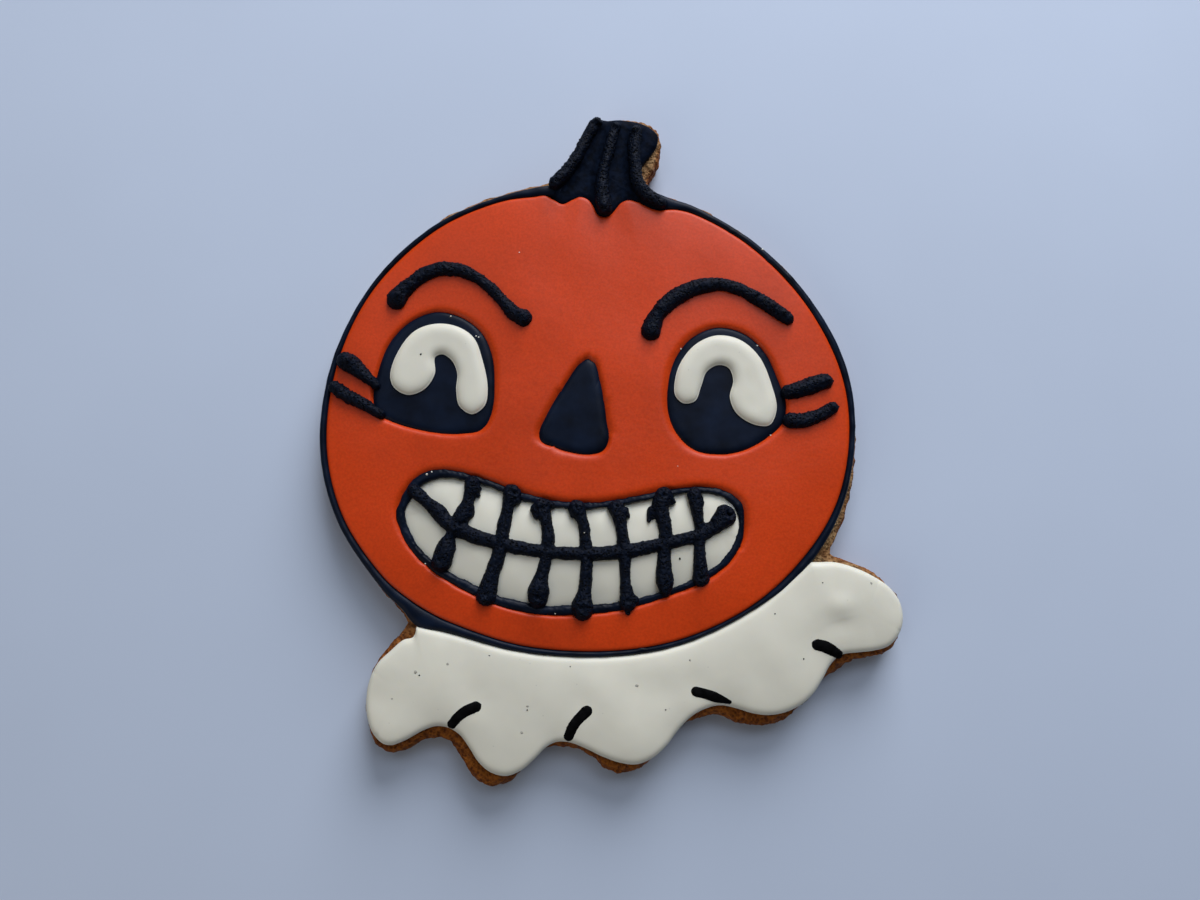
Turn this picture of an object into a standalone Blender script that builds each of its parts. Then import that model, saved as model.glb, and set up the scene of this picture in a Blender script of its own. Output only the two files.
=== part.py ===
"""An iced sugar cookie cut as a jack-o'-lantern head over a scalloped collar.

One baked biscuit carries flooded icing in orange, black and ivory, with piped lines on top.
All sizes are in millimetres until a mesh is made, which is in metres, with +Z up.
"""
import math

import bmesh
import bpy
import numpy as np
from mathutils import Vector, geometry

MM = 0.001
GAP = 0.3

# Heights above the table
BISCUIT_TOP = 5.5
ICING_BASE = BISCUIT_TOP + GAP
ICING_DEPTH = 1.5
ICING_TOP = ICING_BASE + ICING_DEPTH
SUNK_TOP = ICING_TOP - 0.2
COLLAR_TOP = ICING_TOP + 0.2
LINE_BASE = ICING_TOP + GAP
LINE_HEIGHT = 1.3
RIB_HEIGHT = 1.5
WHITE_HEIGHT = 0.9
MARK_HEIGHT = 0.5

# The outlines are drawn as seen from EYE, on the level PLAN. A piece whose edge lies higher or
# lower is drawn smaller or larger about the point under EYE, so that it shows where it should.
EYE = (-1.3, -21.9, 151.8)
PLAN = 7.0
BISCUIT_EDGE = 4.5
LINE_EDGE = 7.6
WHITE_EDGE = 7.7

# Spacing of the points along an outline or a line
BISCUIT_STEP = 2.1
SHEET_STEP = 2.2
SMALL_STEP = 1.7
LINE_STEP = 1.5

# Edge profiles, as how far the edge lies in from the outline, and how high it is
BISCUIT_PROFILE = ((0.6, 0.0), (0.1, 0.7), (0.0, 2.6), (0.15, 4.3), (0.9, BISCUIT_TOP))
SHEET_PROFILE = ((0.1, 0.0), (0.0, 0.5), (0.25, 1.1), (1.1, ICING_DEPTH))
SUNK_PROFILE = ((0.1, 0.0), (0.0, 0.5), (0.3, 1.05), (1.0, SUNK_TOP - ICING_BASE))
COLLAR_PROFILE = ((0.1, 0.0), (0.0, 0.5), (0.35, 1.2), (1.4, COLLAR_TOP - ICING_BASE))
WHITE_PROFILE = ((0.1, 0.0), (0.0, 0.25), (0.3, 0.65), (0.9, WHITE_HEIGHT))

# Section of a piped line, as parts of its half width and of its height
LINE_SECTION = ((-0.8, 0.0), (-1.0, 0.45), (-0.5, 0.95), (0.5, 0.95), (1.0, 0.45), (0.8, 0.0))
# Section of an outline that lies between two edges: part of the way across, part of its height
RIM_SECTION = ((0.04, 0.0), (0.0, 0.55), (0.3, 1.0), (0.75, 1.0), (1.0, 0.8), (1.0, 0.0))

# The biscuit's outline, anticlockwise from the left foot of the stem. A repeated point is a corner.
BISCUIT = (
    (-10.22, 42.52), (-10.22, 42.52), (-14.96, 41.61), (-19.95, 39.86), (-24.91, 37.77),
    (-29.85, 34.7), (-34.75, 30.15), (-38.52, 25.99), (-42.19, 19.94), (-44.87, 13.49),
    (-46.45, 6.45), (-46.8, 0.01), (-46.16, -6.13), (-44.28, -12.47), (-40.91, -18.81),
    (-36.73, -24.27), (-32.95, -28.26), (-31.4, -30.4), (-31.4, -30.4), (-32.6, -32.0),
    (-34.52, -34.27), (-36.53, -36.8), (-37.66, -39.66), (-38.05, -42.99), (-37.37, -46.31),
    (-35.93, -48.93), (-33.8, -50.1), (-31.2, -49.4), (-28.8, -48.0), (-26.8, -47.7),
    (-24.6, -48.4), (-22.9, -50.3), (-21.0, -53.2), (-19.2, -54.7), (-17.3, -55.05),
    (-15.25, -54.31), (-12.73, -52.25), (-10.29, -49.88), (-8.4, -49.2), (-6.4, -49.2),
    (-4.4, -49.7), (-2.4, -50.7), (-0.3, -52.3), (1.8, -53.0), (4.17, -52.51), (6.49, -51.23),
    (8.42, -49.62), (10.31, -47.33), (12.44, -45.32), (14.6, -44.5), (17.0, -44.1), (19.3, -44.9),
    (22.0, -45.7), (25.0, -45.8), (27.76, -44.71), (30.18, -43.14), (32.11, -41.23),
    (33.89, -39.0), (35.8, -37.6), (38.3, -36.2), (41.2, -35.6), (43.92, -34.57), (45.79, -32.66),
    (46.61, -30.34), (46.6, -28.25), (45.99, -26.43), (44.1, -24.01), (41.3, -22.0),
    (38.3, -20.8), (36.4, -20.2), (35.2, -19.5), (36.0, -17.2), (37.9, -13.2), (39.4, -7.98),
    (40.2, -2.48), (40.3, 2.99), (39.9, 7.95), (38.52, 12.9), (36.23, 17.86), (33.15, 23.13),
    (29.98, 27.3), (26.11, 31.07), (20.34, 35.35), (14.89, 38.47), (10.94, 40.01), (8.23, 40.87),
    (6.65, 42.5), (7.95, 44.82), (8.85, 47.61), (9.0, 50.19), (8.36, 52.12), (6.73, 53.31),
    (3.46, 53.95), (0.01, 53.85), (-2.43, 53.79), (-3.68, 52.08), (-4.98, 49.38), (-6.8, 46.46),
    (-8.67, 44.11),
)

# The black line round the head, from the stem's left foot to its right one, anticlockwise:
# a point of its outer edge and the point of its inner edge across from it
HEAD_RING = (
    (-10.2, 42.3, -10.6, 40.55), (-18.0, 40.4, -18.0, 39.45), (-28.1, 35.9, -27.7, 35.2),
    (-36.7, 28.35, -36.1, 27.9), (-42.6, 19.2, -41.9, 19.0), (-46.1, 8.6, -45.2, 8.5),
    (-46.65, -3.4, -45.65, -3.4), (-43.4, -14.4, -42.5, -14.0), (-36.5, -24.4, -35.7, -23.4),
    (-33.2, -27.9, -32.1, -26.4), (-30.4, -31.0, -28.8, -28.5), (-25.5, -32.0, -24.8, -30.4),
    (-14.0, -34.95, -13.7, -33.9), (0.0, -35.7, 0.0, -34.75), (11.5, -33.85, 11.3, -33.0),
    (23.6, -28.1, 23.0, -27.6), (32.4, -20.8, 31.4, -20.0), (38.0, -11.0, 37.1, -10.8),
    (40.25, 1.5, 39.4, 1.5), (38.7, 12.5, 37.7, 12.1), (32.6, 23.9, 31.8, 23.2),
    (24.2, 32.6, 23.6, 31.8), (14.5, 38.6, 14.2, 37.4), (10.6, 40.0, 10.3, 38.25),
)
WEDGE_ROW = 10
WING_ROW = 16

# The stem's scalloped foot, from right to left
STEM_FOOT = (
    (7.9, 38.05), (6.4, 38.7), (5.0, 39.4), (3.4, 39.7), (2.2, 39.2), (1.3, 38.1), (0.4, 37.1),
    (-0.7, 36.8), (-1.7, 37.2), (-2.4, 38.6), (-3.3, 39.8), (-4.6, 40.3), (-6.0, 39.8),
    (-7.6, 39.05), (-8.9, 39.7),
)
STEM_BODY = (
    (10.1, 38.4), (10.1, 39.8), (10.1, 39.8), (8.6, 40.4), (7.0, 41.3), (5.9, 42.5),
    (5.35, 43.8), (5.4, 45.3), (6.2, 46.8), (7.4, 48.4), (8.4, 50.2), (8.4, 51.6), (7.2, 52.8),
    (5.0, 53.75), (2.5, 54.1), (0.0, 53.9), (-2.4, 53.9), (-3.6, 52.2), (-4.8, 49.6),
    (-6.2, 47.0), (-8.0, 44.7), (-9.6, 43.5), (-9.9, 42.3), (-9.9, 42.3),
)
STEM_RIBS = {
    "left": ((-8.9, 42.8, 1.1), (-7.2, 44.5, 1.1), (-5.3, 47.3, 1.0), (-3.8, 50.3, 0.95),
             (-2.5, 52.8, 1.0), (-1.7, 53.7, 0.8)),
    "middle": ((1.4, 52.8, 0.85), (0.6, 50.2, 0.95), (-0.2, 46.8, 0.95), (-0.9, 43.5, 1.05),
               (-0.9, 40.6, 1.3), (-0.5, 38.3, 1.25)),
    "right": ((4.9, 52.0, 1.0), (4.5, 49.5, 1.05), (4.6, 46.0, 1.0), (5.0, 42.9, 1.1),
              (6.6, 40.7, 1.15), (9.0, 39.2, 0.95)),
}

EYES = {
    "left": ((-28.0, 20.4), (-24.2, 19.4), (-20.9, 16.8), (-19.1, 13.0), (-18.55, 8.5),
             (-18.8, 3.6), (-20.4, 0.55), (-23.5, -0.2), (-27.5, -0.15), (-32.0, 0.7),
             (-36.0, 2.1), (-37.9, 3.3), (-38.5, 6.0), (-38.1, 9.0), (-37.3, 12.2),
             (-36.0, 15.2), (-33.4, 18.2), (-30.7, 19.8)),
    "right": ((18.2, 17.75), (22.5, 16.7), (25.9, 13.5), (27.9, 9.0), (29.2, 5.0), (28.6, 1.7),
              (26.0, -0.8), (22.2, -2.9), (18.3, -3.6), (14.3, -3.0), (11.5, -0.7), (9.8, 3.0),
              (9.75, 8.0), (11.1, 12.6), (14.0, 16.1)),
}
EYE_WHITES = {
    "left": ((-35.8, 9.7), (-34.6, 13.7), (-32.0, 17.1), (-28.6, 18.35), (-25.0, 17.9),
             (-22.2, 16.0), (-20.7, 12.3), (-19.75, 7.5), (-20.2, 4.6), (-22.25, 3.2),
             (-24.3, 4.5), (-24.9, 7.2), (-24.8, 10.0), (-25.7, 12.1), (-27.3, 13.2),
             (-28.5, 12.7), (-28.5, 9.9), (-30.1, 7.4), (-32.8, 6.4), (-35.1, 7.6)),
    "right": ((10.9, 7.6), (11.7, 11.2), (14.3, 14.7), (17.9, 16.35), (21.7, 15.7),
              (24.95, 12.8), (26.9, 8.0), (27.6, 4.0), (26.4, 1.4), (24.0, 1.45), (21.1, 3.3),
              (20.0, 6.0), (20.6, 8.8), (19.9, 10.9), (18.2, 11.4), (16.3, 10.3), (15.3, 7.8),
              (14.3, 5.4), (12.4, 5.0), (11.1, 6.2)),
}
NOSE = (
    (-3.3, 12.4), (-4.9, 11.4), (-6.8, 8.6), (-8.8, 5.4), (-10.3, 2.6), (-11.3, 0.0),
    (-10.8, -1.6), (-8.4, -2.5), (-6.0, -3.25), (-3.0, -3.6), (-0.6, -2.9), (0.25, -1.0),
    (-0.2, 2.0), (-0.65, 5.6), (-1.3, 9.0), (-2.1, 11.7),
)

# The middle of the line round the mouth, anticlockwise, and that line's half width
MOUTH = (
    (-33.3, -12.6), (-32.6, -15.6), (-30.5, -19.0), (-27.0, -22.1), (-22.0, -25.0),
    (-16.0, -27.4), (-10.0, -28.5), (-4.0, -28.4), (2.0, -27.7), (8.0, -26.0), (14.0, -23.8),
    (18.2, -21.2), (20.6, -18.0), (21.4, -14.6), (20.7, -11.7), (18.0, -9.9), (14.0, -9.4),
    (8.0, -10.3), (2.5, -11.4), (-3.0, -12.05), (-8.5, -11.7), (-14.0, -10.4), (-20.0, -8.2),
    (-25.5, -6.8), (-29.0, -7.1), (-31.7, -9.1),
)
MOUTH_LINE = 0.72

# Piped lines, as a point of the middle and the half width there
BITE_LINE = (
    (-31.4, -9.4, 1.1), (-29.6, -11.2, 1.0), (-27.7, -12.9, 1.05), (-25.7, -14.7, 1.2),
    (-23.5, -15.9, 1.25), (-19.0, -17.1, 1.1), (-13.0, -18.75, 0.9), (-7.0, -19.3, 0.9),
    (-1.0, -19.4, 1.0), (4.0, -18.9, 1.0), (10.3, -17.6, 1.0), (14.5, -16.6, 1.1),
    (17.2, -15.0, 1.25), (18.9, -13.3, 1.65),
)
TOOTH_LINES = (
    ((-22.0, -8.2, 1.25), (-22.2, -10.5, 1.0), (-23.1, -12.8, 1.25), (-24.4, -14.9, 1.35),
     (-25.3, -16.6, 0.8), (-26.1, -18.6, 1.45), (-26.7, -20.8, 1.6)),
    ((-15.6, -9.7, 1.45), (-16.0, -12.0, 1.05), (-16.8, -15.2, 1.0), (-17.4, -19.0, 1.1),
     (-18.4, -22.3, 1.2), (-19.4, -26.2, 1.6)),
    ((-10.8, -11.9, 1.35), (-10.0, -14.5, 1.0), (-9.6, -17.5, 1.0), (-10.0, -21.0, 0.85),
     (-10.9, -24.2, 1.5), (-11.1, -26.6, 1.6)),
    ((-5.0, -12.2, 1.35), (-4.1, -14.6, 1.0), (-3.6, -18.2, 1.0), (-3.4, -22.0, 0.9),
     (-3.9, -26.0, 1.3), (-4.0, -28.4, 1.6)),
    ((1.4, -12.2, 1.3), (2.1, -15.0, 1.0), (2.6, -19.5, 1.05), (2.7, -23.5, 0.8),
     (3.1, -27.2, 1.35)),
    ((9.0, -10.2, 1.5), (8.6, -12.0, 1.5), (9.1, -15.5, 1.0), (9.1, -20.5, 0.95),
     (9.1, -23.7, 1.3), (9.2, -25.3, 1.0)),
    ((13.9, -9.9, 1.1), (14.2, -12.2, 1.15), (14.7, -15.2, 0.8), (14.8, -19.8, 0.85),
     (14.8, -23.4, 1.25)),
)
TOOTH_PRONG = ((7.9, -11.2, 0.7), (7.3, -13.5, 0.5))
TOOTH_DRIP = ((3.1, -27.4, 0.7), (3.1, -28.5, 0.5))

BROWS = {
    "left": ((-34.9, 22.3, 1.7), (-33.6, 24.1, 1.3), (-31.2, 26.35, 1.3), (-27.9, 27.5, 1.2),
             (-24.4, 27.1, 1.1), (-21.1, 25.3, 1.0), (-18.0, 22.3, 0.95), (-15.6, 20.0, 1.2),
             (-14.1, 19.4, 1.35)),
    "right": ((7.1, 16.8, 1.6), (8.0, 19.9, 1.2), (10.3, 22.5, 1.35), (13.9, 24.5, 1.35),
              (17.9, 25.05, 1.1), (22.0, 24.3, 1.05), (25.6, 22.0, 1.15), (29.2, 19.5, 1.15)),
}
LASHES = {
    "left_upper": ((-43.0, 11.8, 1.25), (-42.0, 11.5, 1.35), (-40.2, 10.0, 0.95),
                   (-38.1, 8.0, 0.65)),
    "left_lower": ((-44.5, 7.5, 1.0), (-42.8, 6.2, 1.05), (-40.1, 4.6, 0.9), (-37.2, 3.1, 0.7)),
    "right_upper": ((29.6, 6.7, 1.0), (32.4, 7.4, 1.25), (34.8, 8.1, 1.3), (36.2, 8.4, 1.1)),
    "right_lower": ((29.7, 1.9, 1.1), (32.0, 2.0, 1.15), (34.6, 3.0, 1.05), (36.9, 4.4, 0.95)),
}

# The collar's outer edge, anticlockwise from the wedge to the head's right side
COLLAR_EDGE = (
    (-30.9, -32.6), (-32.5, -33.1), (-34.6, -34.9), (-36.4, -36.7), (-37.6, -39.2),
    (-38.05, -42.0), (-37.8, -44.9), (-36.9, -47.3), (-35.3, -48.9), (-33.9, -49.2),
    (-31.6, -48.4), (-29.0, -47.0), (-27.0, -46.35), (-25.0, -46.6), (-23.2, -47.7),
    (-21.8, -49.5), (-20.2, -51.8), (-18.3, -53.3), (-16.0, -53.85), (-13.7, -53.1),
    (-11.5, -51.3), (-9.8, -49.6), (-8.2, -48.75), (-6.2, -48.75), (-3.6, -49.7), (-0.8, -51.0),
    (2.0, -51.9), (4.4, -52.1), (6.8, -51.2), (9.0, -49.4), (11.0, -46.9), (13.0, -44.9),
    (15.2, -43.7), (17.6, -43.15), (20.0, -43.6), (22.8, -44.4), (25.3, -44.65),
    (28.0, -44.15), (30.4, -43.0), (32.3, -41.3), (33.8, -39.1), (35.2, -36.8), (36.9, -35.4),
    (39.2, -35.05), (42.0, -34.75), (44.4, -34.0), (46.0, -32.3), (46.8, -29.9), (46.5, -27.2),
    (45.0, -24.9), (42.6, -23.2), (39.4, -21.7), (36.2, -20.85), (33.6, -20.85),
)
COLLAR_MARKS = (
    ((-21.1, -43.1, 0.75), (-22.5, -43.9, 0.7), (-23.7, -44.8, 0.65), (-24.6, -46.0, 0.6)),
    ((-3.6, -44.0, 0.8), (-4.7, -45.2, 0.7), (-5.7, -46.5, 0.7), (-6.3, -47.8, 0.65)),
    ((13.8, -41.1, 0.75), (15.5, -41.5, 0.75), (17.2, -42.2, 0.65), (18.9, -42.7, 0.35)),
    ((33.1, -33.8, 0.8), (34.4, -34.3, 0.75), (35.5, -34.8, 0.65), (36.4, -35.2, 0.5)),
)

COLOURS = {
    "baked_biscuit": ("#8f5f30", 0.85),
    "orange_icing": ("#c2421c", 0.5),
    "black_icing": ("#15171e", 0.55),
    "ivory_icing": ("#e4dfd1", 0.45),
}


def clear_scene():
    """Remove whatever the file starts with."""
    for thing in list(bpy.data.objects):
        bpy.data.objects.remove(thing, do_unlink=True)


def linear(hex_colour):
    """Turn an sRGB hex colour into linear red, green, blue and alpha."""
    parts = [int(hex_colour[i:i + 2], 16) / 255 for i in (1, 3, 5)]
    return [c / 12.92 if c <= 0.04045 else ((c + 0.055) / 1.055) ** 2.4 for c in parts] + [1.0]


def make_material(name):
    """A plain Principled finish in one of the cookie's colours."""
    hex_colour, roughness = COLOURS[name]
    material = bpy.data.materials.new(name)
    material.use_nodes = True
    shader = material.node_tree.nodes["Principled BSDF"]
    shader.inputs["Base Color"].default_value = linear(hex_colour)
    shader.inputs["Roughness"].default_value = roughness
    shader.inputs["Metallic"].default_value = 0.0
    return material


def seen_at(points, height):
    """Carry points drawn on PLAN to another height along the line of sight from EYE."""
    pts = np.array(points, dtype=float)
    scale = (EYE[2] - height) / (EYE[2] - PLAN)
    foot = np.array(EYE[:2])
    pts[:, :2] = foot + (pts[:, :2] - foot) * scale
    return pts


def curve_through(points, closed):
    """Centripetal Catmull-Rom curve, 16 samples a span, through the rows of points."""
    pts = np.asarray(points, dtype=float)
    if closed:
        pts = np.vstack((pts[-1], pts, pts[0], pts[1]))
    else:
        pts = np.vstack((2 * pts[0] - pts[1], pts, 2 * pts[-1] - pts[-2]))
    part = np.linspace(0.0, 1.0, 16, endpoint=False)[:, None]
    out = []
    for a, b, c, d in zip(pts[:-3], pts[1:-2], pts[2:-1], pts[3:]):
        ta = 0.0
        tb = ta + math.sqrt(np.hypot(*(b - a)[:2]))
        tc = tb + math.sqrt(np.hypot(*(c - b)[:2]))
        td = tc + math.sqrt(np.hypot(*(d - c)[:2]))
        t = tb + (tc - tb) * part
        ab = ((tb - t) * a + (t - ta) * b) / (tb - ta)
        bc = ((tc - t) * b + (t - tb) * c) / (tc - tb)
        cd = ((td - t) * c + (t - tc) * d) / (td - tc)
        abc = ((tc - t) * ab + (t - ta) * bc) / (tc - ta)
        bcd = ((td - t) * bc + (t - tb) * cd) / (td - tb)
        out.append(((tc - t) * abc + (t - tb) * bcd) / (tc - tb))
    if not closed:
        out.append(pts[-2][None, :])
    return np.vstack(out)


def even_steps(points, step, closed):
    """Resample a run of points so that neighbours lie about one step apart."""
    pts = np.vstack((points, points[:1])) if closed else points
    run = np.concatenate(([0.0], np.cumsum(np.hypot(*np.diff(pts[:, :2], axis=0).T))))
    count = max(3, round(run[-1] / step))
    where = np.linspace(0.0, run[-1], count + 1)
    columns = [np.interp(where, run, pts[:, k]) for k in range(pts.shape[1])]
    even = np.stack(columns, axis=1)
    return even[:-1] if closed else even


def smooth_outline(points, step):
    """Closed outline through the points, anticlockwise; a point given twice is a corner."""
    pts = [tuple(p) for p in points]
    if pts[0] == pts[-1]:
        pts = pts[-1:] + pts[:-1]
    corners = [i for i in range(len(pts) - 1) if pts[i] == pts[i + 1]]
    if not corners:
        loop = even_steps(curve_through(pts, True), step, True)
    else:
        first = corners[0] + 1
        turned = pts[first:] + pts[:first]
        runs = [[turned[0]]]
        for before, after in zip(turned, turned[1:]):
            if after == before:
                runs.append([after])
            else:
                runs[-1].append(after)
        if len(runs[-1]) == 1:
            runs.pop()
        pieces = [even_steps(curve_through(run, False), step, False)[:-1] for run in runs]
        loop = np.vstack(pieces)
    x, y = loop.T
    area = np.sum(x * np.roll(y, -1) - y * np.roll(x, -1))
    return loop if area > 0 else loop[::-1]


def inset(loop, distance):
    """Move each point of an anticlockwise loop inwards, square to its neighbours' line."""
    ahead = np.roll(loop, -1, axis=0) - loop
    behind = loop - np.roll(loop, 1, axis=0)
    ahead /= np.linalg.norm(ahead, axis=1)[:, None]
    behind /= np.linalg.norm(behind, axis=1)[:, None]
    along = ahead + behind
    along /= np.linalg.norm(along, axis=1)[:, None]
    stretch = 1 / np.clip(np.sum(along * ahead, axis=1), 0.75, 1.0)
    inward = np.stack((-along[:, 1], along[:, 0]), axis=1)
    return loop + inward * (distance * stretch)[:, None]


def add_object(name, verts, faces, base, material, parent):
    """Make a closed mesh whose origin lies under its middle, at its own base height."""
    verts = np.asarray(verts, dtype=float)
    middle = (verts[:, :2].min(axis=0) + verts[:, :2].max(axis=0)) / 2
    verts[:, :2] -= middle
    mesh = bpy.data.meshes.new(name)
    mesh.from_pydata([tuple(v) for v in verts * MM], [], faces)
    bm = bmesh.new()
    bm.from_mesh(mesh)
    bmesh.ops.recalc_face_normals(bm, faces=bm.faces)
    bm.to_mesh(mesh)
    bm.free()
    mesh.materials.append(material)
    mesh.shade_smooth()
    mesh.set_sharp_from_angle(angle=math.radians(50))
    thing = bpy.data.objects.new(name, mesh)
    bpy.context.collection.objects.link(thing)
    thing.location = (middle[0] * MM, middle[1] * MM, base * MM)
    thing.parent = parent
    return thing


def bridge(first, second, count, closed=True):
    """Quads between two rows of count vertices that start at the given numbers."""
    last = count if closed else count - 1
    return [(first + i, first + (i + 1) % count, second + (i + 1) % count, second + i)
            for i in range(last)]


def sheet(name, outline, profile, base, material, parent, holes=()):
    """A flat-topped sheet: each loop follows the edge profile, and two flat faces close it."""
    verts = []
    faces = []
    lowest = []
    highest = []
    for loop, side in [(outline, 1.0)] + [(hole, -1.0) for hole in holes]:
        count = len(loop)
        for row, (distance, height) in enumerate(profile):
            start = len(verts)
            ring = inset(loop, side * distance)
            verts += [(x, y, height) for x, y in ring]
            if row:
                faces += bridge(start - count, start, count)
            if row == 0:
                lowest.append((start, count))
        highest.append((len(verts) - count, count))
    for loops in (lowest, highest):
        numbers = [i for start, count in loops for i in range(start, start + count)]
        rings = [[Vector(verts[i]) for i in range(s, s + c)] for s, c in loops]
        faces += [tuple(numbers[i] for i in tri) for tri in geometry.tessellate_polygon(rings)]
    return add_object(name, verts, faces, base, material, parent)


def rim(name, outer, inner, height, base, material, parent, closed):
    """A low line between two edges: RIM_SECTION is laid across from one to the other."""
    count = len(RIM_SECTION)
    verts = []
    for a, b in zip(outer, inner):
        verts += [(*(a + (b - a) * across), up * height) for across, up in RIM_SECTION]
    stations = len(outer)
    faces = []
    for i in range(stations if closed else stations - 1):
        faces += bridge(i * count, (i + 1) % stations * count, count)
    if not closed:
        faces.append(tuple(range(count)))
        faces.append(tuple(range((stations - 1) * count, stations * count)))
    return add_object(name, verts, faces, base, material, parent)


def line_mesh(path, height):
    """A piped line: LINE_SECTION carried along the path, its ends drawn in to round caps."""
    middle = even_steps(curve_through(seen_at(path, LINE_EDGE), False), LINE_STEP, False)
    ahead = np.gradient(middle[:, :2], axis=0)
    ahead /= np.linalg.norm(ahead, axis=1)[:, None]
    stations = []
    for angle in (15, 50):
        lean = math.radians(angle)
        x, y, half = middle[0]
        stations.append((x, y, half, *(-ahead[0]), math.cos(lean), math.sin(lean)))
    stations += [(*row, *tangent, 0.0, 1.0) for row, tangent in zip(middle, ahead)]
    for angle in (50, 15):
        lean = math.radians(angle)
        x, y, half = middle[-1]
        stations.append((x, y, half, *ahead[-1], math.cos(lean), math.sin(lean)))
    verts = []
    for number, (x, y, half, tx, ty, reach, width) in enumerate(stations):
        turn = -1.0 if number < 2 else 1.0
        x += tx * half * reach
        y += ty * half * reach
        rise = height * math.sqrt(half) * (0.35 + 0.65 * width)
        for side, up in LINE_SECTION:
            across = side * half * width * turn
            verts.append((x - ty * across, y + tx * across, up * rise))
    count = len(LINE_SECTION)
    faces = []
    for i in range(len(stations) - 1):
        faces += bridge(i * count, (i + 1) * count, count)
    faces.append(tuple(range(count)))
    faces.append(tuple(range((len(stations) - 1) * count, len(stations) * count)))
    return verts, faces


def line(name, path, height, base, material, parent):
    """One piped line as an object."""
    verts, faces = line_mesh(path, height)
    return add_object(name, verts, faces, base, material, parent)


def fuse(target, others):
    """Join overlapping pieces into one solid with a Boolean union on a collection."""
    group = bpy.data.collections.new("fused_pieces")
    bpy.context.scene.collection.children.link(group)
    for piece in others:
        bpy.context.collection.objects.unlink(piece)
        group.objects.link(piece)
    union = target.modifiers.new("union", "BOOLEAN")
    union.operation = "UNION"
    union.operand_type = "COLLECTION"
    union.collection = group
    union.solver = "EXACT"
    depsgraph = bpy.context.evaluated_depsgraph_get()
    joined = bpy.data.meshes.new_from_object(target.evaluated_get(depsgraph))
    target.modifiers.clear()
    target.data = joined
    for piece in others:
        bpy.data.objects.remove(piece, do_unlink=True)
    bpy.data.collections.remove(group)


def ring_edges():
    """The outer and inner edges of the line round the head, point for point across."""
    rows = curve_through(HEAD_RING, False)
    return rows[::4, :2], rows[::4, 2:]


def build_biscuit(outline, materials, parent):
    """The baked biscuit, with a soft upper edge and a slightly drawn-in foot."""
    sheet("biscuit", outline, BISCUIT_PROFILE, 0.0, materials["baked_biscuit"], parent)


def build_head(materials, parent):
    """The black line round the head and the orange flood inside it, open at eyes, nose, mouth."""
    black = materials["black_icing"]
    outer, inner = ring_edges()
    rim("head_outline", outer, inner, ICING_DEPTH - 0.2, ICING_BASE, black, parent, False)
    edge = [row[2:] for row in HEAD_RING] + list(STEM_FOOT)
    flood = inset(smooth_outline(edge, SHEET_STEP), GAP)
    holes = [smooth_outline(EYES["left"], SMALL_STEP), smooth_outline(EYES["right"], SMALL_STEP),
             smooth_outline(NOSE, SMALL_STEP),
             inset(smooth_outline(MOUTH, SHEET_STEP), -MOUTH_LINE - GAP)]
    sheet("orange_icing", flood, SHEET_PROFILE, ICING_BASE, materials["orange_icing"], parent,
          holes)


def build_stem(materials, parent):
    """The black stem, with three piped ribs lying on it."""
    black = materials["black_icing"]
    outline = smooth_outline(list(reversed(STEM_FOOT)) + list(STEM_BODY), SMALL_STEP)
    sheet("stem_icing", outline, SHEET_PROFILE, ICING_BASE, black, parent)
    for side, path in STEM_RIBS.items():
        line("stem_rib_" + side, path, RIB_HEIGHT, LINE_BASE, black, parent)


def build_features(materials, parent):
    """Eyes with their whites, and the nose, let into the openings in the orange."""
    black = materials["black_icing"]
    for side, points in EYES.items():
        loop = inset(smooth_outline(points, SMALL_STEP), GAP)
        sheet("eye_" + side, loop, SUNK_PROFILE, ICING_BASE, black, parent)
    for side, points in EYE_WHITES.items():
        loop = smooth_outline(seen_at(points, WHITE_EDGE), SMALL_STEP)
        sheet("eye_white_" + side, loop, WHITE_PROFILE, SUNK_TOP + GAP,
              materials["ivory_icing"], parent)
    nose = inset(smooth_outline(NOSE, SMALL_STEP), GAP)
    sheet("nose", nose, SUNK_PROFILE, ICING_BASE, black, parent)


def build_mouth(materials, parent):
    """The mouth's black line, the ivory flood inside it and the lines drawn across the teeth."""
    black = materials["black_icing"]
    middle = smooth_outline(MOUTH, SHEET_STEP)
    outer = inset(middle, -MOUTH_LINE)
    inner = inset(middle, MOUTH_LINE)
    rim("mouth_rim", outer, inner, ICING_DEPTH, ICING_BASE, black, parent, True)
    teeth = inset(middle, MOUTH_LINE + GAP)
    sheet("teeth", teeth, SUNK_PROFILE, ICING_BASE, materials["ivory_icing"], parent)
    bite = line("tooth_lines", BITE_LINE, LINE_HEIGHT, LINE_BASE, black, parent)
    crossing = [line("tooth_line", path, LINE_HEIGHT, LINE_BASE, black, parent)
                for path in TOOTH_LINES + (TOOTH_PRONG, TOOTH_DRIP)]
    fuse(bite, crossing)


def build_brows_and_lashes(materials, parent):
    """The brows and lashes piped on the orange."""
    for group, paths in (("brow_", BROWS), ("lash_", LASHES)):
        for side, path in paths.items():
            line(group + side, path, LINE_HEIGHT, LINE_BASE, materials["black_icing"], parent)


def build_collar(materials, parent):
    """The scalloped ivory collar, with a short black mark at each fold."""
    under_head = [row[:2] for row in HEAD_RING[WEDGE_ROW:WING_ROW + 1]]
    under_head.reverse()
    edge = [under_head[0]] + under_head + [under_head[-1]] + list(COLLAR_EDGE)
    outline = inset(smooth_outline(edge, SHEET_STEP), GAP)
    sheet("collar_icing", outline, COLLAR_PROFILE, ICING_BASE, materials["ivory_icing"], parent)
    for number, path in enumerate(COLLAR_MARKS, 1):
        line("collar_mark_%d" % number, path, MARK_HEIGHT, COLLAR_TOP + GAP,
             materials["black_icing"], parent)


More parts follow.
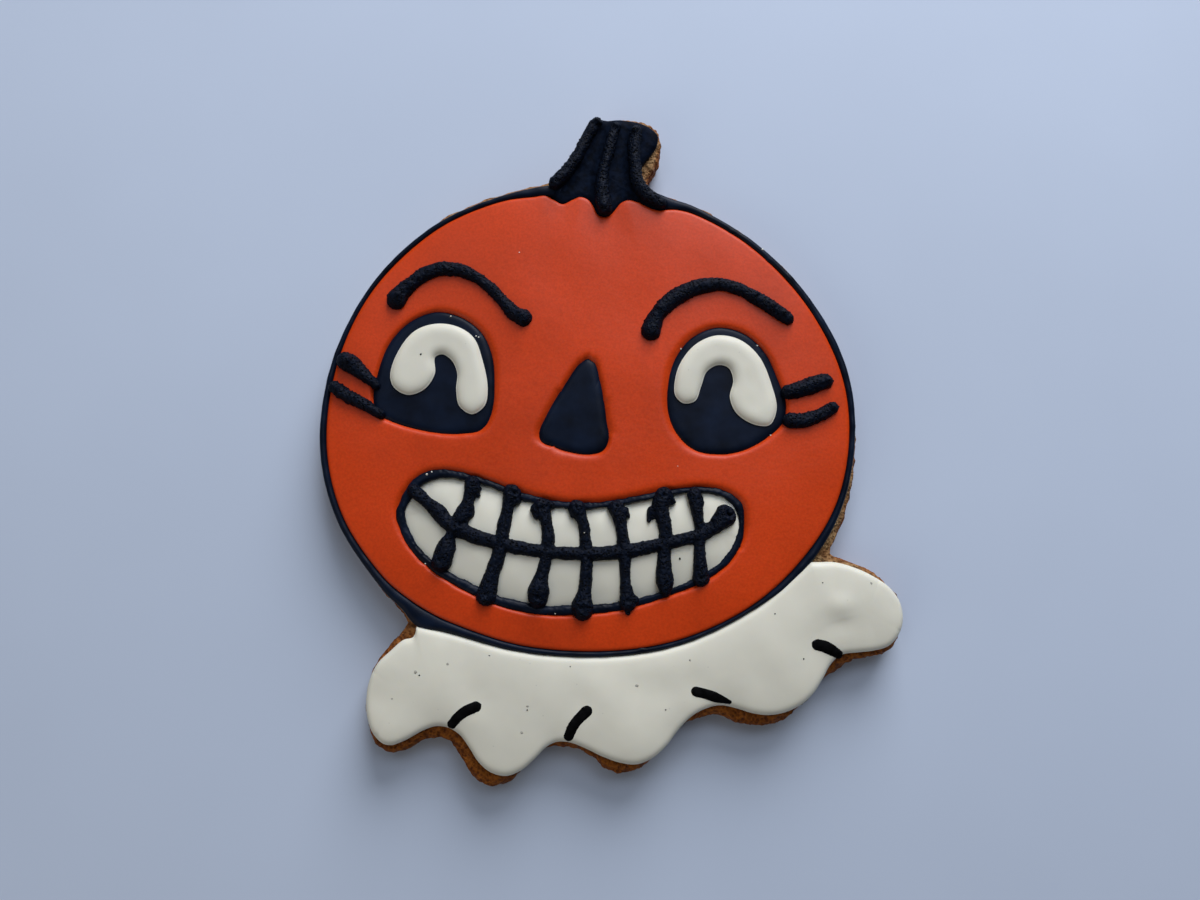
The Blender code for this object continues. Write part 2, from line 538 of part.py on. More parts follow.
def main():
    """Build the cookie with its base centred on the origin."""
    clear_scene()
    materials = {name: make_material(name) for name in COLOURS}
    outline = smooth_outline(seen_at(BISCUIT, BISCUIT_EDGE), BISCUIT_STEP)
    middle = (outline.min(axis=0) + outline.max(axis=0)) / 2
    cookie = bpy.data.objects.new("cookie", None)
    bpy.context.collection.objects.link(cookie)
    cookie.location = (-middle[0] * MM, -middle[1] * MM, 0.0)
    build_biscuit(outline, materials, cookie)
    build_head(materials, cookie)
    build_stem(materials, cookie)
    build_features(materials, cookie)
    build_mouth(materials, cookie)
    build_brows_and_lashes(materials, cookie)
    build_collar(materials, cookie)


main()
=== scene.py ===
"""Looks of an iced sugar cookie: a jack-o'-lantern head over a scalloped collar.

A baked biscuit carries flooded icing in orange, black and ivory, with crusty black lines piped
on top. Shapes are worked out in millimetres on the drawing's axes, and go into the meshes in
metres, +Z up. Every flood is a grid laid over its outline, and every line is a section carried
along its path.
"""
import math

import bpy
import numpy as np
from bpy.props import FloatProperty, FloatVectorProperty, PointerProperty
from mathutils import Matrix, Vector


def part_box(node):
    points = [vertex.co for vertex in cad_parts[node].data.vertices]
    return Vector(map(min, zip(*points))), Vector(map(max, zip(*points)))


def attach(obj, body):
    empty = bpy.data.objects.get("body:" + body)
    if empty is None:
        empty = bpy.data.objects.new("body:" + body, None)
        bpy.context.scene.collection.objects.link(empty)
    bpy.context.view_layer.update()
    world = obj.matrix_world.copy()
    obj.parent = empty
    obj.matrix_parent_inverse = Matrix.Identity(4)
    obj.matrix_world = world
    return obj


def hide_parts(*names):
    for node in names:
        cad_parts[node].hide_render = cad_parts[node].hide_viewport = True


bl_info = {
    "name": "Iced Sugar Cookie",
    "version": (1, 0, 0),
    "blender": (4, 5, 0),
    "location": "View3D > Sidebar > Cookie",
    "description": "Builds the biscuit, its icing and the stage, piece by piece",
    "category": "Add Mesh",
}

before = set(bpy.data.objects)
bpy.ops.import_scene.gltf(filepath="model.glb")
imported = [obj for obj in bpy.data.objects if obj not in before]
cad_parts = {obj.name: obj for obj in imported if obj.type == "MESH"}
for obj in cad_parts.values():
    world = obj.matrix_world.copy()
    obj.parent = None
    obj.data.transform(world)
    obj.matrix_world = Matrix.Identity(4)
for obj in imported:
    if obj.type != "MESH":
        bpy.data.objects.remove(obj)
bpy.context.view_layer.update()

MM = 0.001
MIDDLE = (-0.043, -0.174)

# The outlines are drawn as seen from EYE, on the level PLAN. A piece whose edge lies higher or
# lower is drawn smaller or larger about the point under EYE, so that it shows where it should.
EYE = (-1.3, -21.857, 151.751)
PLAN = 7.0
BISCUIT_EDGE = 4.5
LINE_EDGE = 7.6
WHITE_EDGE = 7.7

# Levels in mm at which the icing ends below: that of the floods on the biscuit, of the collar, of
# the pools let into the orange, of the head line, and of the lines piped on the orange
FLOOD_FOOT = 5.3
COLLAR_FOOT = 5.2
POOL_FOOT = 5.6
HEAD_FOOT = 5.7
PIPED_FOOT = 6.9

SPAN = 24  # samples between two points of a curve
CAP_ROWS = 9  # rows of vertices in the round end of a piped line
GLOW_REACH = 0.8  # mm that light goes inside icing
FLOOR_REACH = 0.9  # m from the cookie's middle to the floor's sides
FLOOR_GAP = 0.00002  # m between the floor and the cookie's underside
MULTIPLIED = {"data_type": "RGBA", "blend_type": "MULTIPLY"}

# The biscuit's outline, anticlockwise from the stem's left foot. A repeated point is a corner.
BISCUIT = (
    (-10.22, 42.52), (-10.22, 42.52), (-14.96, 41.61), (-19.99, 39.95), (-24.98, 37.9),
    (-29.91, 34.78), (-34.75, 30.15), (-38.52, 25.99), (-42.19, 19.94), (-44.87, 13.49),
    (-46.45, 6.45), (-46.8, 0.01), (-46.16, -6.13), (-44.28, -12.47), (-40.91, -18.81),
    (-36.81, -24.33), (-33.14, -28.42), (-31.6, -30.42), (-31.6, -30.42), (-32.76, -31.87),
    (-34.67, -34.14), (-36.66, -36.72), (-37.66, -39.66), (-37.95, -42.99), (-37.42, -46.33),
    (-36.18, -49.17), (-33.83, -50.4), (-31.05, -49.77), (-28.66, -48.37), (-26.84, -48.1),
    (-24.79, -48.69), (-23.18, -50.51), (-21.31, -53.46), (-19.38, -55.06), (-17.27, -55.4),
    (-15.17, -54.44), (-12.8, -52.18), (-10.29, -49.88), (-8.37, -49.4), (-6.43, -49.45),
    (-4.47, -49.89), (-2.56, -50.95), (-0.54, -52.74), (1.78, -53.5), (4.31, -52.88),
    (6.6, -51.4), (8.42, -49.62), (10.31, -47.33), (12.58, -45.53), (14.73, -44.98),
    (16.96, -44.6), (19.15, -45.36), (21.93, -46.13), (25.07, -46.23), (27.94, -45.07),
    (30.24, -43.22), (32.11, -41.23), (33.96, -39.07), (35.93, -37.81), (38.32, -36.25),
    (41.23, -35.7), (44.03, -34.74), (45.79, -32.66), (46.61, -30.34), (46.6, -28.25),
    (45.99, -26.43), (44.17, -23.94), (41.38, -21.86), (38.36, -20.65), (36.48, -20.02),
    (35.5, -19.46), (36.37, -17.36), (38.18, -13.3), (39.6, -8.02), (40.3, -2.49), (40.3, 2.99),
    (39.9, 7.95), (38.52, 12.9), (36.23, 17.86), (33.15, 23.13), (29.98, 27.3), (26.11, 31.07),
    (20.34, 35.35), (14.89, 38.47), (10.94, 40.01), (8.23, 40.87), (6.65, 42.5), (7.95, 44.82),
    (8.85, 47.61), (9.0, 50.19), (8.36, 52.12), (6.73, 53.31), (3.46, 53.95), (0.01, 53.85),
    (-2.43, 53.79), (-3.68, 52.08), (-4.98, 49.38), (-6.8, 46.46), (-8.67, 44.11),
)

# The black line round the head, from the stem's left foot to its right one, anticlockwise:
# a point of its outer edge and the point of its inner edge across from it
HEAD_RING = (
    (-10.2, 42.3, -10.6, 40.55), (-18.0, 40.4, -18.0, 39.45), (-28.1, 35.9, -27.7, 35.2),
    (-36.7, 28.35, -36.1, 27.9), (-42.6, 19.2, -41.9, 19.0), (-46.1, 8.6, -45.2, 8.5),
    (-46.65, -3.4, -45.65, -3.4), (-43.4, -14.4, -42.5, -14.0), (-36.5, -24.4, -35.7, -23.4),
    (-33.2, -27.9, -32.1, -26.4), (-30.4, -31.0, -28.8, -28.5), (-25.5, -32.0, -24.8, -30.4),
    (-14.0, -34.95, -13.7, -33.9), (0.0, -35.7, 0.0, -34.75), (11.5, -33.85, 11.3, -33.0),
    (23.6, -28.1, 23.0, -27.6), (32.4, -20.8, 31.4, -20.0), (38.0, -11.0, 37.1, -10.8),
    (40.25, 1.5, 39.4, 1.5), (38.7, 12.5, 37.7, 12.1), (32.6, 23.9, 31.8, 23.2),
    (24.2, 32.6, 23.6, 31.8), (14.5, 38.6, 14.2, 37.4), (10.6, 40.0, 10.3, 38.25),
)
WEDGE_ROW = 10
WING_ROW = 16
# Where the line runs on under the stem, and where its inner edge steps in
HEAD_ENDS = (((-7.6, 42.3, -8.2, 40.6),), ((8.4, 40.9, 8.0, 39.0),))
HEAD_NOTCHES = ((-41.8, 18.2), (26.4, 28.9), (20.5, 34.2), (-45.0, 4.0), (5.2, -34.4))

# The stem's scalloped foot, from right to left
STEM_FOOT = (
    (7.9, 38.05), (6.4, 38.7), (5.0, 39.4), (3.4, 39.7), (2.2, 39.2), (1.3, 38.1), (0.4, 37.1),
    (-0.7, 36.8), (-1.7, 37.2), (-2.4, 38.6), (-3.3, 39.8), (-4.6, 40.3), (-6.0, 39.8),
    (-7.6, 39.05), (-8.9, 39.7),
)
STEM_BODY = (
    (10.1, 38.4), (10.1, 39.8), (10.1, 39.8), (8.6, 40.4), (7.0, 41.3), (5.9, 42.5),
    (5.35, 43.8), (5.4, 45.3), (6.2, 46.8), (7.4, 48.4), (8.4, 50.2), (8.4, 51.6), (7.2, 52.8),
    (5.0, 53.75), (2.5, 54.1), (0.0, 53.9), (-2.4, 53.9), (-3.6, 52.2), (-4.8, 49.6),
    (-6.2, 47.0), (-8.0, 44.7), (-9.6, 43.5), (-9.9, 42.3), (-9.9, 42.3),
)
STEM_RIBS = {
    "left": ((-8.9, 42.8, 1.1), (-7.2, 44.5, 1.1), (-5.3, 47.3, 1.0), (-3.8, 50.3, 0.95),
             (-2.5, 52.8, 1.0), (-1.7, 53.7, 0.8)),
    "middle": ((1.4, 52.8, 0.85), (0.6, 50.2, 0.95), (-0.2, 46.8, 0.95), (-0.9, 43.5, 1.05),
               (-0.9, 40.6, 1.3), (-0.5, 38.3, 1.25)),
    "right": ((4.9, 52.0, 1.0), (4.5, 49.5, 1.05), (4.6, 46.0, 1.0), (5.0, 42.9, 1.1),
              (6.6, 40.7, 1.15), (9.0, 39.2, 0.95)),
}

EYES = {
    "left": ((-28.0, 20.4), (-24.2, 19.4), (-20.9, 16.8), (-19.1, 13.0), (-18.55, 8.5),
             (-18.8, 3.6), (-20.4, 0.55), (-23.5, -0.2), (-27.5, -0.15), (-32.0, 0.7),
             (-36.0, 2.1), (-37.9, 3.3), (-38.5, 6.0), (-38.1, 9.0), (-37.3, 12.2),
             (-36.0, 15.2), (-33.4, 18.2), (-30.7, 19.8)),
    "right": ((18.2, 17.75), (22.5, 16.7), (25.9, 13.5), (27.9, 9.0), (29.2, 5.0), (28.6, 1.7),
              (26.0, -0.8), (22.2, -2.9), (18.3, -3.6), (14.3, -3.0), (11.5, -0.7), (9.8, 3.0),
              (9.75, 8.0), (11.1, 12.6), (14.0, 16.1)),
}
EYE_WHITES = {
    "left": ((-35.8, 9.7), (-34.6, 13.7), (-32.0, 17.1), (-28.6, 18.35), (-25.0, 17.9),
             (-22.2, 16.0), (-20.7, 12.3), (-19.75, 7.5), (-20.2, 4.6), (-22.25, 3.2),
             (-24.3, 4.5), (-24.9, 7.2), (-24.8, 10.0), (-25.7, 12.1), (-27.3, 13.2),
             (-28.5, 12.7), (-28.5, 9.9), (-30.1, 7.4), (-32.8, 6.4), (-35.1, 7.6)),
    "right": ((10.9, 7.6), (11.7, 11.2), (14.3, 14.7), (17.9, 16.35), (21.7, 15.7),
              (24.95, 12.8), (26.9, 8.0), (27.6, 4.0), (26.4, 1.4), (24.0, 1.45), (21.1, 3.3),
              (20.0, 6.0), (20.6, 8.8), (19.9, 10.9), (18.2, 11.4), (16.3, 10.3), (15.3, 7.8),
              (14.3, 5.4), (12.4, 5.0), (11.1, 6.2)),
}
# A path down the middle of each crescent of white
WHITE_SPINES = {
    "left": ((-32.4, 9.6), (-31.6, 13.2), (-28.6, 15.8), (-25.0, 14.9), (-22.9, 12.0),
             (-22.3, 8.4), (-22.4, 5.6)),
    "right": ((13.2, 8.0), (14.6, 11.6), (18.0, 13.8), (21.6, 12.7), (23.6, 9.0), (24.4, 4.4)),
}
NOSE = (
    (-3.3, 12.4), (-4.9, 11.4), (-6.8, 8.6), (-8.8, 5.4), (-10.3, 2.6), (-11.3, 0.0),
    (-10.8, -1.6), (-8.4, -2.5), (-6.0, -3.25), (-3.0, -3.6), (-0.6, -2.9), (0.25, -1.0),
    (-0.2, 2.0), (-0.65, 5.6), (-1.3, 9.0), (-2.1, 11.7),
)

# The line round the mouth, anticlockwise, and how far it reaches inwards and outwards there
MOUTH = (
    (-33.3, -12.6), (-32.6, -15.6), (-30.5, -19.0), (-27.0, -22.1), (-22.0, -25.0),
    (-16.0, -27.4), (-10.0, -28.5), (-4.0, -28.4), (2.0, -27.7), (8.0, -26.0), (14.0, -23.8),
    (18.2, -21.2), (20.6, -18.0), (21.4, -14.6), (20.7, -11.7), (18.0, -9.9), (14.0, -9.4),
    (8.0, -10.3), (2.5, -11.4), (-3.0, -12.05), (-8.5, -11.7), (-14.0, -10.4), (-20.0, -8.2),
    (-25.5, -6.8), (-29.0, -7.1), (-31.7, -9.1),
)
MOUTH_REACH = (
    (0.56, 0.96), (0.6, 0.88), (0.48, 0.92), (0.63, 0.9), (0.78, 0.84), (0.8, 0.88), (0.8, 0.72),
    (0.85, 0.8), (0.58, 0.9), (0.34, 0.85), (0.35, 0.66), (0.6, 0.66), (0.56, 0.7), (0.48, 0.54),
    (0.5, 0.9), (0.34, 0.92), (0.26, 0.74), (0.24, 0.78), (0.26, 0.86), (0.28, 0.72), (0.3, 0.8),
    (0.48, 0.84), (0.24, 0.8), (0.52, 0.88), (0.68, 1.2), (0.5, 0.95),
)
MOUTH_SPINE = ((-28.6, -12.6), (-22.0, -16.6), (-12.0, -19.4), (-2.0, -19.9), (8.0, -18.0),
               (16.6, -15.2))

# Piped lines, as a point of the middle and the half width there
BITE_LINE = (
    (-31.4, -9.4, 1.1), (-29.5, -11.05, 0.98), (-27.5, -12.7, 1.18), (-25.7, -14.7, 1.2),
    (-23.5, -15.9, 1.25), (-19.1, -17.4, 1.12), (-13.0, -18.8, 1.08), (-7.0, -19.4, 1.02),
    (-1.0, -19.5, 1.14), (4.0, -18.95, 1.14), (10.3, -17.6, 1.0), (14.5, -16.6, 1.1),
    (17.25, -15.1, 1.32), (18.95, -13.45, 1.85),
)
TOOTH_LINES = (
    ((-22.0, -8.2, 1.25), (-22.4, -10.4, 0.95), (-23.1, -12.8, 1.35), (-24.4, -14.9, 1.35),
     (-25.35, -16.6, 0.9), (-26.0, -18.6, 1.58), (-26.7, -20.8, 1.65)),
    ((-15.6, -9.7, 1.45), (-16.15, -11.95, 0.95), (-16.75, -15.2, 1.12), (-17.4, -19.0, 1.1),
     (-18.4, -22.3, 1.2), (-19.4, -26.2, 1.6)),
    ((-10.8, -11.9, 1.35), (-9.95, -14.5, 1.0), (-9.6, -17.5, 1.08), (-10.1, -21.0, 0.98),
     (-10.8, -23.6, 1.2), (-11.1, -25.4, 1.72), (-11.15, -26.5, 1.6)),
    ((-5.0, -12.2, 1.35), (-4.0, -14.6, 0.9), (-3.6, -18.2, 1.0), (-3.5, -22.0, 1.0),
     (-3.75, -25.6, 1.1), (-4.05, -27.7, 1.75), (-4.05, -28.5, 1.6)),
    ((1.4, -12.2, 1.3), (2.1, -15.0, 1.0), (2.6, -19.5, 1.05), (2.75, -23.5, 0.84),
     (3.1, -27.35, 1.35)),
    ((9.0, -10.2, 1.5), (8.5, -12.0, 1.35), (9.2, -15.5, 1.12), (8.95, -20.5, 1.1),
     (9.05, -23.7, 1.4), (9.2, -25.3, 1.0)),
    ((13.9, -9.9, 1.1), (14.3, -12.2, 1.08), (14.7, -15.2, 0.8), (14.7, -19.8, 1.0),
     (14.8, -23.5, 1.3)),
    ((7.9, -11.2, 0.75), (7.2, -13.7, 0.42)),
    ((3.1, -28.0, 0.3), (3.1, -28.5, 0.42), (3.12, -28.8, 0.46)),
)

# Blobs that stand out from the sides of the tooth lines: short runs that melt into them
SPURS = (
    ((-21.4, -8.9, 0.9), (-21.1, -9.1, 0.6)), ((-21.4, -9.6, 0.7), (-21.0, -10.1, 0.35)),
    ((-22.6, -12.2, 1.1), (-22.7, -13.0, 1.15)), ((-24.2, -15.3, 1.6), (-23.7, -15.4, 1.4)),
    ((-11.6, -12.4, 0.95), (-11.3, -13.2, 0.85)),
    ((-6.0, -12.3, 0.6), (-5.6, -13.2, 0.6)), ((2.7, -12.6, 0.6), (3.3, -13.5, 0.3)),
    ((0.3, -12.2, 0.5), (0.9, -13.0, 0.5)), ((6.9, -12.4, 0.5), (6.6, -14.2, 0.4)),
    ((9.7, -10.3, 0.9), (10.6, -11.15, 0.42)), ((9.9, -11.3, 0.4), (10.4, -11.5, 0.25)),
    ((-15.1, -9.9, 1.15), (-14.95, -10.9, 0.95)), ((3.7, -26.6, 0.9), (4.2, -26.8, 0.7)),
    ((-10.0, -11.2, 0.5), (-9.0, -11.8, 0.45)), ((14.4, -10.6, 0.9), (14.75, -11.5, 0.8)),
)

BROWS = {
    "left": ((-35.1, 22.45, 1.66), (-33.7, 24.2, 1.26), (-31.2, 26.35, 1.18),
             (-27.9, 27.65, 1.16), (-24.3, 27.35, 1.1), (-20.9, 25.6, 0.98),
             (-17.75, 22.55, 0.99), (-15.5, 20.1, 1.28), (-13.9, 19.25, 1.38)),
    "right": ((7.15, 17.2, 1.7), (8.2, 19.8, 1.34), (10.5, 22.25, 1.37), (14.0, 24.25, 1.4),
              (17.9, 25.0, 1.13), (21.95, 24.15, 1.03), (25.6, 22.05, 1.15),
              (29.2, 19.65, 1.12), (29.8, 19.2, 0.95)),
}
LASHES = {
    "left_upper": ((-43.2, 12.0, 1.45), (-42.1, 11.4, 1.5), (-40.3, 9.9, 1.1),
                   (-38.1, 8.0, 0.75)),
    "left_lower": ((-44.8, 7.6, 1.05), (-42.8, 6.25, 1.08), (-40.0, 4.8, 0.94),
                   (-37.2, 3.1, 0.75)),
    "right_upper": ((29.6, 6.8, 1.2), (32.35, 7.55, 1.32), (34.7, 8.35, 1.32),
                    (35.8, 8.65, 1.15)),
    "right_lower": ((29.7, 2.1, 1.24), (32.0, 2.15, 1.18), (34.6, 3.0, 1.04),
                    (36.75, 4.3, 0.98)),
}

# Hollows in the piped lines, mostly where a line began or was broken off: x, y, half width, depth
PITS = (
    (-34.6, 22.7, 0.5, 0.55), (-33.9, 23.6, 0.3, 0.3), (-14.6, 19.7, 0.35, 0.35),
    (-20.6, 24.9, 0.25, 0.2), (27.2, 20.9, 0.3, 0.35), (28.9, 19.7, 0.35, 0.4),
    (24.6, 22.9, 0.25, 0.25), (8.4, 20.6, 0.4, 0.3), (-42.4, 11.8, 0.5, 0.55),
    (-44.0, 7.3, 0.35, 0.35), (35.8, 8.5, 0.4, 0.4), (36.4, 4.2, 0.35, 0.3),
    (-15.5, -9.6, 0.45, 0.4), (-10.6, -12.3, 0.4, 0.35), (-14.9, -9.9, 0.3, 0.45),
    (-14.9, -10.9, 0.25, 0.35), (-5.2, -12.1, 0.4, 0.35), (1.4, -11.8, 0.35, 0.3),
    (9.0, -10.2, 0.45, 0.35), (19.6, -12.9, 0.8, 1.5), (16.5, -14.6, 0.4, 0.5),
    (-26.6, -20.6, 0.4, 0.35), (-19.3, -26.0, 0.4, 0.35), (-11.1, -26.4, 0.4, 0.4),
    (-4.0, -28.1, 0.4, 0.4), (3.1, -27.0, 0.35, 0.3), (9.2, -24.2, 0.35, 0.3),
    (14.8, -23.4, 0.35, 0.3), (-23.6, -14.8, 0.35, 0.3), (-1.9, 53.2, 0.45, 0.5),
    (1.3, 52.4, 0.4, 0.4), (4.6, 51.6, 0.45, 0.45), (-0.6, 38.2, 0.5, 0.3),
)

# Loose crumbs and specks of dust that lie on the icing: x, y and size in mm
PALE_CRUMBS = (
    (-29.4, -6.7, 0.2), (-28.6, -6.3, 0.14), (-29.3, -21.1, 0.15), (-8.4, -29.0, 0.11),
    (-3.8, -16.2, 0.09), (-37.1, 2.5, 0.15), (-26.1, 19.7, 0.15), (-21.8, 16.3, 0.13),
    (-21.4, 16.1, 0.13), (12.1, 14.2, 0.14), (24.7, 14.7, 0.14), (26.6, -0.3, 0.14),
    (-42.4, 20.6, 0.13), (26.0, 31.3, 0.17), (11.3, -5.4, 0.08), (-14.8, 30.6, 0.11),
)
DARK_CRUMBS = (
    (-30.7, 13.0, 0.16), (11.47, -20.28, 0.17), (-29.7, -38.5, 0.12), (-18.8, -35.5, 0.1),
    (-12.7, -43.8, 0.12), (-6.0, -37.2, 0.1), (9.0, -43.8, 0.11), (30.8, -36.0, 0.12),
    (34.2, -24.1, 0.1), (26.5, -29.0, 0.12),
)
GREY_SPECKS = (
    (-30.3, -38.0, 0.24), (-25.3, -36.8, 0.2), (-13.5, -47.2, 0.2), (4.5, -40.1, 0.24),
    (42.0, -24.2, 0.2), (-12.6, -43.2, 0.2), (12.9, -36.2, 0.16), (-33.9, -42.1, 0.16),
)

# The collar's outer edge, anticlockwise from the wedge to the head's right side
COLLAR_EDGE = (
    (-30.9, -32.6), (-32.5, -33.1), (-34.6, -34.9), (-36.4, -36.7), (-37.6, -39.2),
    (-38.05, -42.0), (-37.8, -44.9), (-36.9, -47.3), (-35.3, -48.9), (-33.9, -49.2),
    (-31.6, -48.4), (-29.0, -47.0), (-27.0, -46.35), (-25.0, -46.6), (-23.2, -47.7),
    (-21.8, -49.5), (-20.2, -51.8), (-18.3, -53.3), (-16.0, -53.85), (-13.7, -53.1),
    (-11.5, -51.3), (-9.8, -49.6), (-8.2, -48.75), (-6.2, -48.75), (-3.6, -49.7), (-0.8, -51.0),
    (2.0, -51.9), (4.4, -52.1), (6.8, -51.2), (9.0, -49.4), (11.0, -46.9), (13.0, -44.9),
    (15.2, -43.7), (17.6, -43.15), (20.0, -43.6), (22.8, -44.4), (25.3, -44.65),
    (28.0, -44.15), (30.4, -43.0), (32.3, -41.3), (33.8, -39.1), (35.2, -36.8), (36.9, -35.4),
    (39.2, -35.05), (42.0, -34.75), (44.4, -34.0), (46.0, -32.3), (46.8, -29.9), (46.5, -27.2),
    (45.0, -24.9), (42.6, -23.2), (39.4, -21.7), (36.2, -20.85), (33.6, -20.85),
)
COLLAR_SPINE = ((-32.6, -41.0), (-25.0, -40.0), (-16.0, -43.6), (-6.0, -42.4), (3.0, -43.6),
                (12.0, -39.4), (23.0, -37.4), (33.0, -31.0), (41.0, -28.6))
# A lump and two dents in the collar, as height, x, y and half widths
COLLAR_DENTS = ((0.55, 36.9, -27.9, 2.0, 1.9), (-0.2, 35.8, -30.2, 2.5, 2.0),
                (-0.25, 7.5, -41.0, 4.0, 3.0))
COLLAR_MARKS = (
    ((-20.75, -43.35, 0.88), (-22.4, -44.05, 0.86), (-23.6, -44.95, 0.82),
     (-24.55, -46.05, 0.75)),
    ((-3.4, -44.0, 0.9), (-4.65, -45.2, 0.88), (-5.6, -46.55, 0.84), (-6.2, -47.85, 0.8)),
    ((13.8, -41.05, 0.82), (15.5, -41.45, 0.83), (17.25, -42.05, 0.78), (19.0, -42.65, 0.42)),
    ((33.1, -33.8, 0.95), (34.45, -34.2, 0.97), (35.5, -34.75, 0.9), (36.5, -35.35, 0.7)),
)


def linear(hex_colour):
    """Turn an sRGB hex colour into linear red, green, blue and alpha."""
    parts = [int(hex_colour[i:i + 2], 16) / 255 for i in (1, 3, 5)]
    return [c / 12.92 if c <= 0.04045 else ((c + 0.055) / 1.055) ** 2.4 for c in parts] + [1.0]


def colour_setting(name, description, hex_colour):
    """A colour that a user may change."""
    return FloatVectorProperty(name=name, description=description, size=3, min=0.0, max=1.0,
                               subtype="COLOR", default=linear(hex_colour)[:3])


def length_setting(name, description, millimetres):
    """A length that a user may change."""
    return FloatProperty(name=name, description=description, default=millimetres * MM,
                         unit="LENGTH", subtype="DISTANCE", precision=5)


class CookieSizes(bpy.types.PropertyGroup):
    """Heights above the table and other sizes of the cookie."""

    biscuit_top: length_setting(
        "Biscuit top", "Height of the baked biscuit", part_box("biscuit")[1][2] / MM)
    orange_crown: length_setting("Orange crown", "Height of the orange in its middle", 7.35)
    black_flood: length_setting("Black flood", "Height of the eyes, the nose and the line", 7.05)
    teeth_top: length_setting("Teeth", "Height of the ivory in the mouth", 7.0)
    white_crown: length_setting("Eye whites", "Height of the whites on the eyes", 7.95)
    collar_crown: length_setting("Collar crown", "Height of the ivory collar", 7.65)
    line_rise: length_setting("Piped line", "How far a piped line stands on the icing", 1.5)
    rib_rise: length_setting("Stem rib", "How far a rib stands on the stem", 1.55)


class CookieColours(bpy.types.PropertyGroup):
    """Colours of the biscuit, the icing and the stage."""

    orange: colour_setting("Orange", "Orange flood icing", "#d0410e")
    black: colour_setting("Black", "Black icing", "#091221")
    ivory: colour_setting("Ivory", "Ivory icing", "#e1decb")
    mark: colour_setting("Marks", "Black strokes on the collar", "#0b0b0c")
    crust: colour_setting("Crust", "Baked biscuit", "#9c5917")
    floor: colour_setting("Floor", "The plain floor", "#c1cddd")


def relief(points, size, seed, waves=40):
    """Smooth random height, about 1 from its mean, over points in mm with two or three columns.

    It is the sum of cosines of plane waves with random turns and phases, each about size long.
    """
    rng = np.random.default_rng(seed)
    turn = rng.normal(size=(waves, points.shape[-1]))
    turn /= np.linalg.norm(turn, axis=1)[:, None]
    turn *= 2 * math.pi / (size * rng.uniform(0.7, 1.7, waves))[:, None]
    phase = rng.uniform(0.0, 2 * math.pi, waves)
    flat = points.reshape(-1, points.shape[-1])
    height = np.cos(flat @ turn.T + phase).sum(axis=1) * math.sqrt(2 / waves)
    return height.reshape(points.shape[:-1])


def seen_at(points, height):
    """Carry points drawn on PLAN to another height along the line of sight from EYE."""
    pts = np.array(points, dtype=float)
    scale = (EYE[2] - height) / (EYE[2] - PLAN)
    foot = np.array(EYE[:2])
    pts[:, :2] = foot + (pts[:, :2] - foot) * scale
    return pts


def curve_through(points, closed=False):
    """Centripetal Catmull-Rom curve through the rows of points, SPAN samples between two."""
    pts = np.asarray(points, dtype=float)
    if closed:
        pts = np.vstack((pts[-1], pts, pts[:2]))
    else:
        pts = np.vstack((2 * pts[0] - pts[1], pts, 2 * pts[-1] - pts[-2]))
    step = np.sqrt(np.hypot(*np.diff(pts[:, :2], axis=0).T))
    knots = np.concatenate(([0.0], np.cumsum(step)))
    a, b, c, d = (pts[i:len(pts) - 3 + i, None, :] for i in range(4))
    ta, tb, tc, td = (knots[i:len(knots) - 3 + i, None, None] for i in range(4))
    t = tb + (tc - tb) * np.linspace(0.0, 1.0, SPAN, endpoint=False)[None, :, None]
    ab = ((tb - t) * a + (t - ta) * b) / (tb - ta)
    bc = ((tc - t) * b + (t - tb) * c) / (tc - tb)
    cd = ((td - t) * c + (t - tc) * d) / (td - tc)
    abc = ((tc - t) * ab + (t - ta) * bc) / (tc - ta)
    bcd = ((td - t) * bc + (t - tb) * cd) / (td - tb)
    out = (((tc - t) * abc + (t - tb) * bcd) / (tc - tb)).reshape(-1, pts.shape[1])
    return out if closed else np.vstack((out, pts[-2:-1]))


def run_length(points):
    """Distance along a run of points, from its first point to each."""
    return np.concatenate(([0.0], np.cumsum(np.hypot(*np.diff(points[:, :2], axis=0).T))))


def at_lengths(points, where):
    """The rows of a run at the given distances along it, by straight interpolation."""
    run = run_length(points)
    return np.stack([np.interp(where, run, column) for column in points.T], axis=1)


def even_path(points, step):
    """An open curve through the points, resampled about one step apart."""
    fine = curve_through(points)
    length = run_length(fine)[-1]
    return at_lengths(fine, np.linspace(0.0, length, max(3, round(length / step)) + 1))


def outline(points, step=0.12):
    """Closed anticlockwise outline through the points; a point given twice is a corner.

    The first row comes again as the last, so that a length along it wraps round.
    """
    pts = [tuple(p[:2]) for p in np.asarray(points, dtype=float)]
    corners = [i for i in range(len(pts)) if pts[i] == pts[i - 1]]
    if corners:
        pts = pts[corners[0]:] + pts[:corners[0]]
        cuts = [i for i in range(1, len(pts)) if pts[i] == pts[i - 1]] + [len(pts)]
        starts = [0] + cuts[:-1]
        fine = np.vstack([curve_through(pts[s:e] + [pts[e % len(pts)]])[:-1]
                          if pts[e - 1] != pts[e % len(pts)] else curve_through(pts[s:e])
                          for s, e in zip(starts, cuts)])
    else:
        fine = curve_through(pts, closed=True)
    x, y = fine.T
    if np.sum(x * np.roll(y, -1) - y * np.roll(x, -1)) < 0:
        fine = fine[::-1]
    fine = np.vstack((fine, fine[:1]))
    length = run_length(fine)[-1]
    return at_lengths(fine, np.linspace(0.0, length, round(length / step) + 1))


def around(ring):
    """Which way a closed ring runs at each of its points: from the one before to the one after."""
    return np.roll(ring, -1, axis=0) - np.roll(ring, 1, axis=0)


def right_of(way):
    """Unit vectors square to rows of directions, on their right."""
    way = way / np.linalg.norm(way, axis=1)[:, None]
    return np.stack((way[:, 1], -way[:, 0]), axis=1)


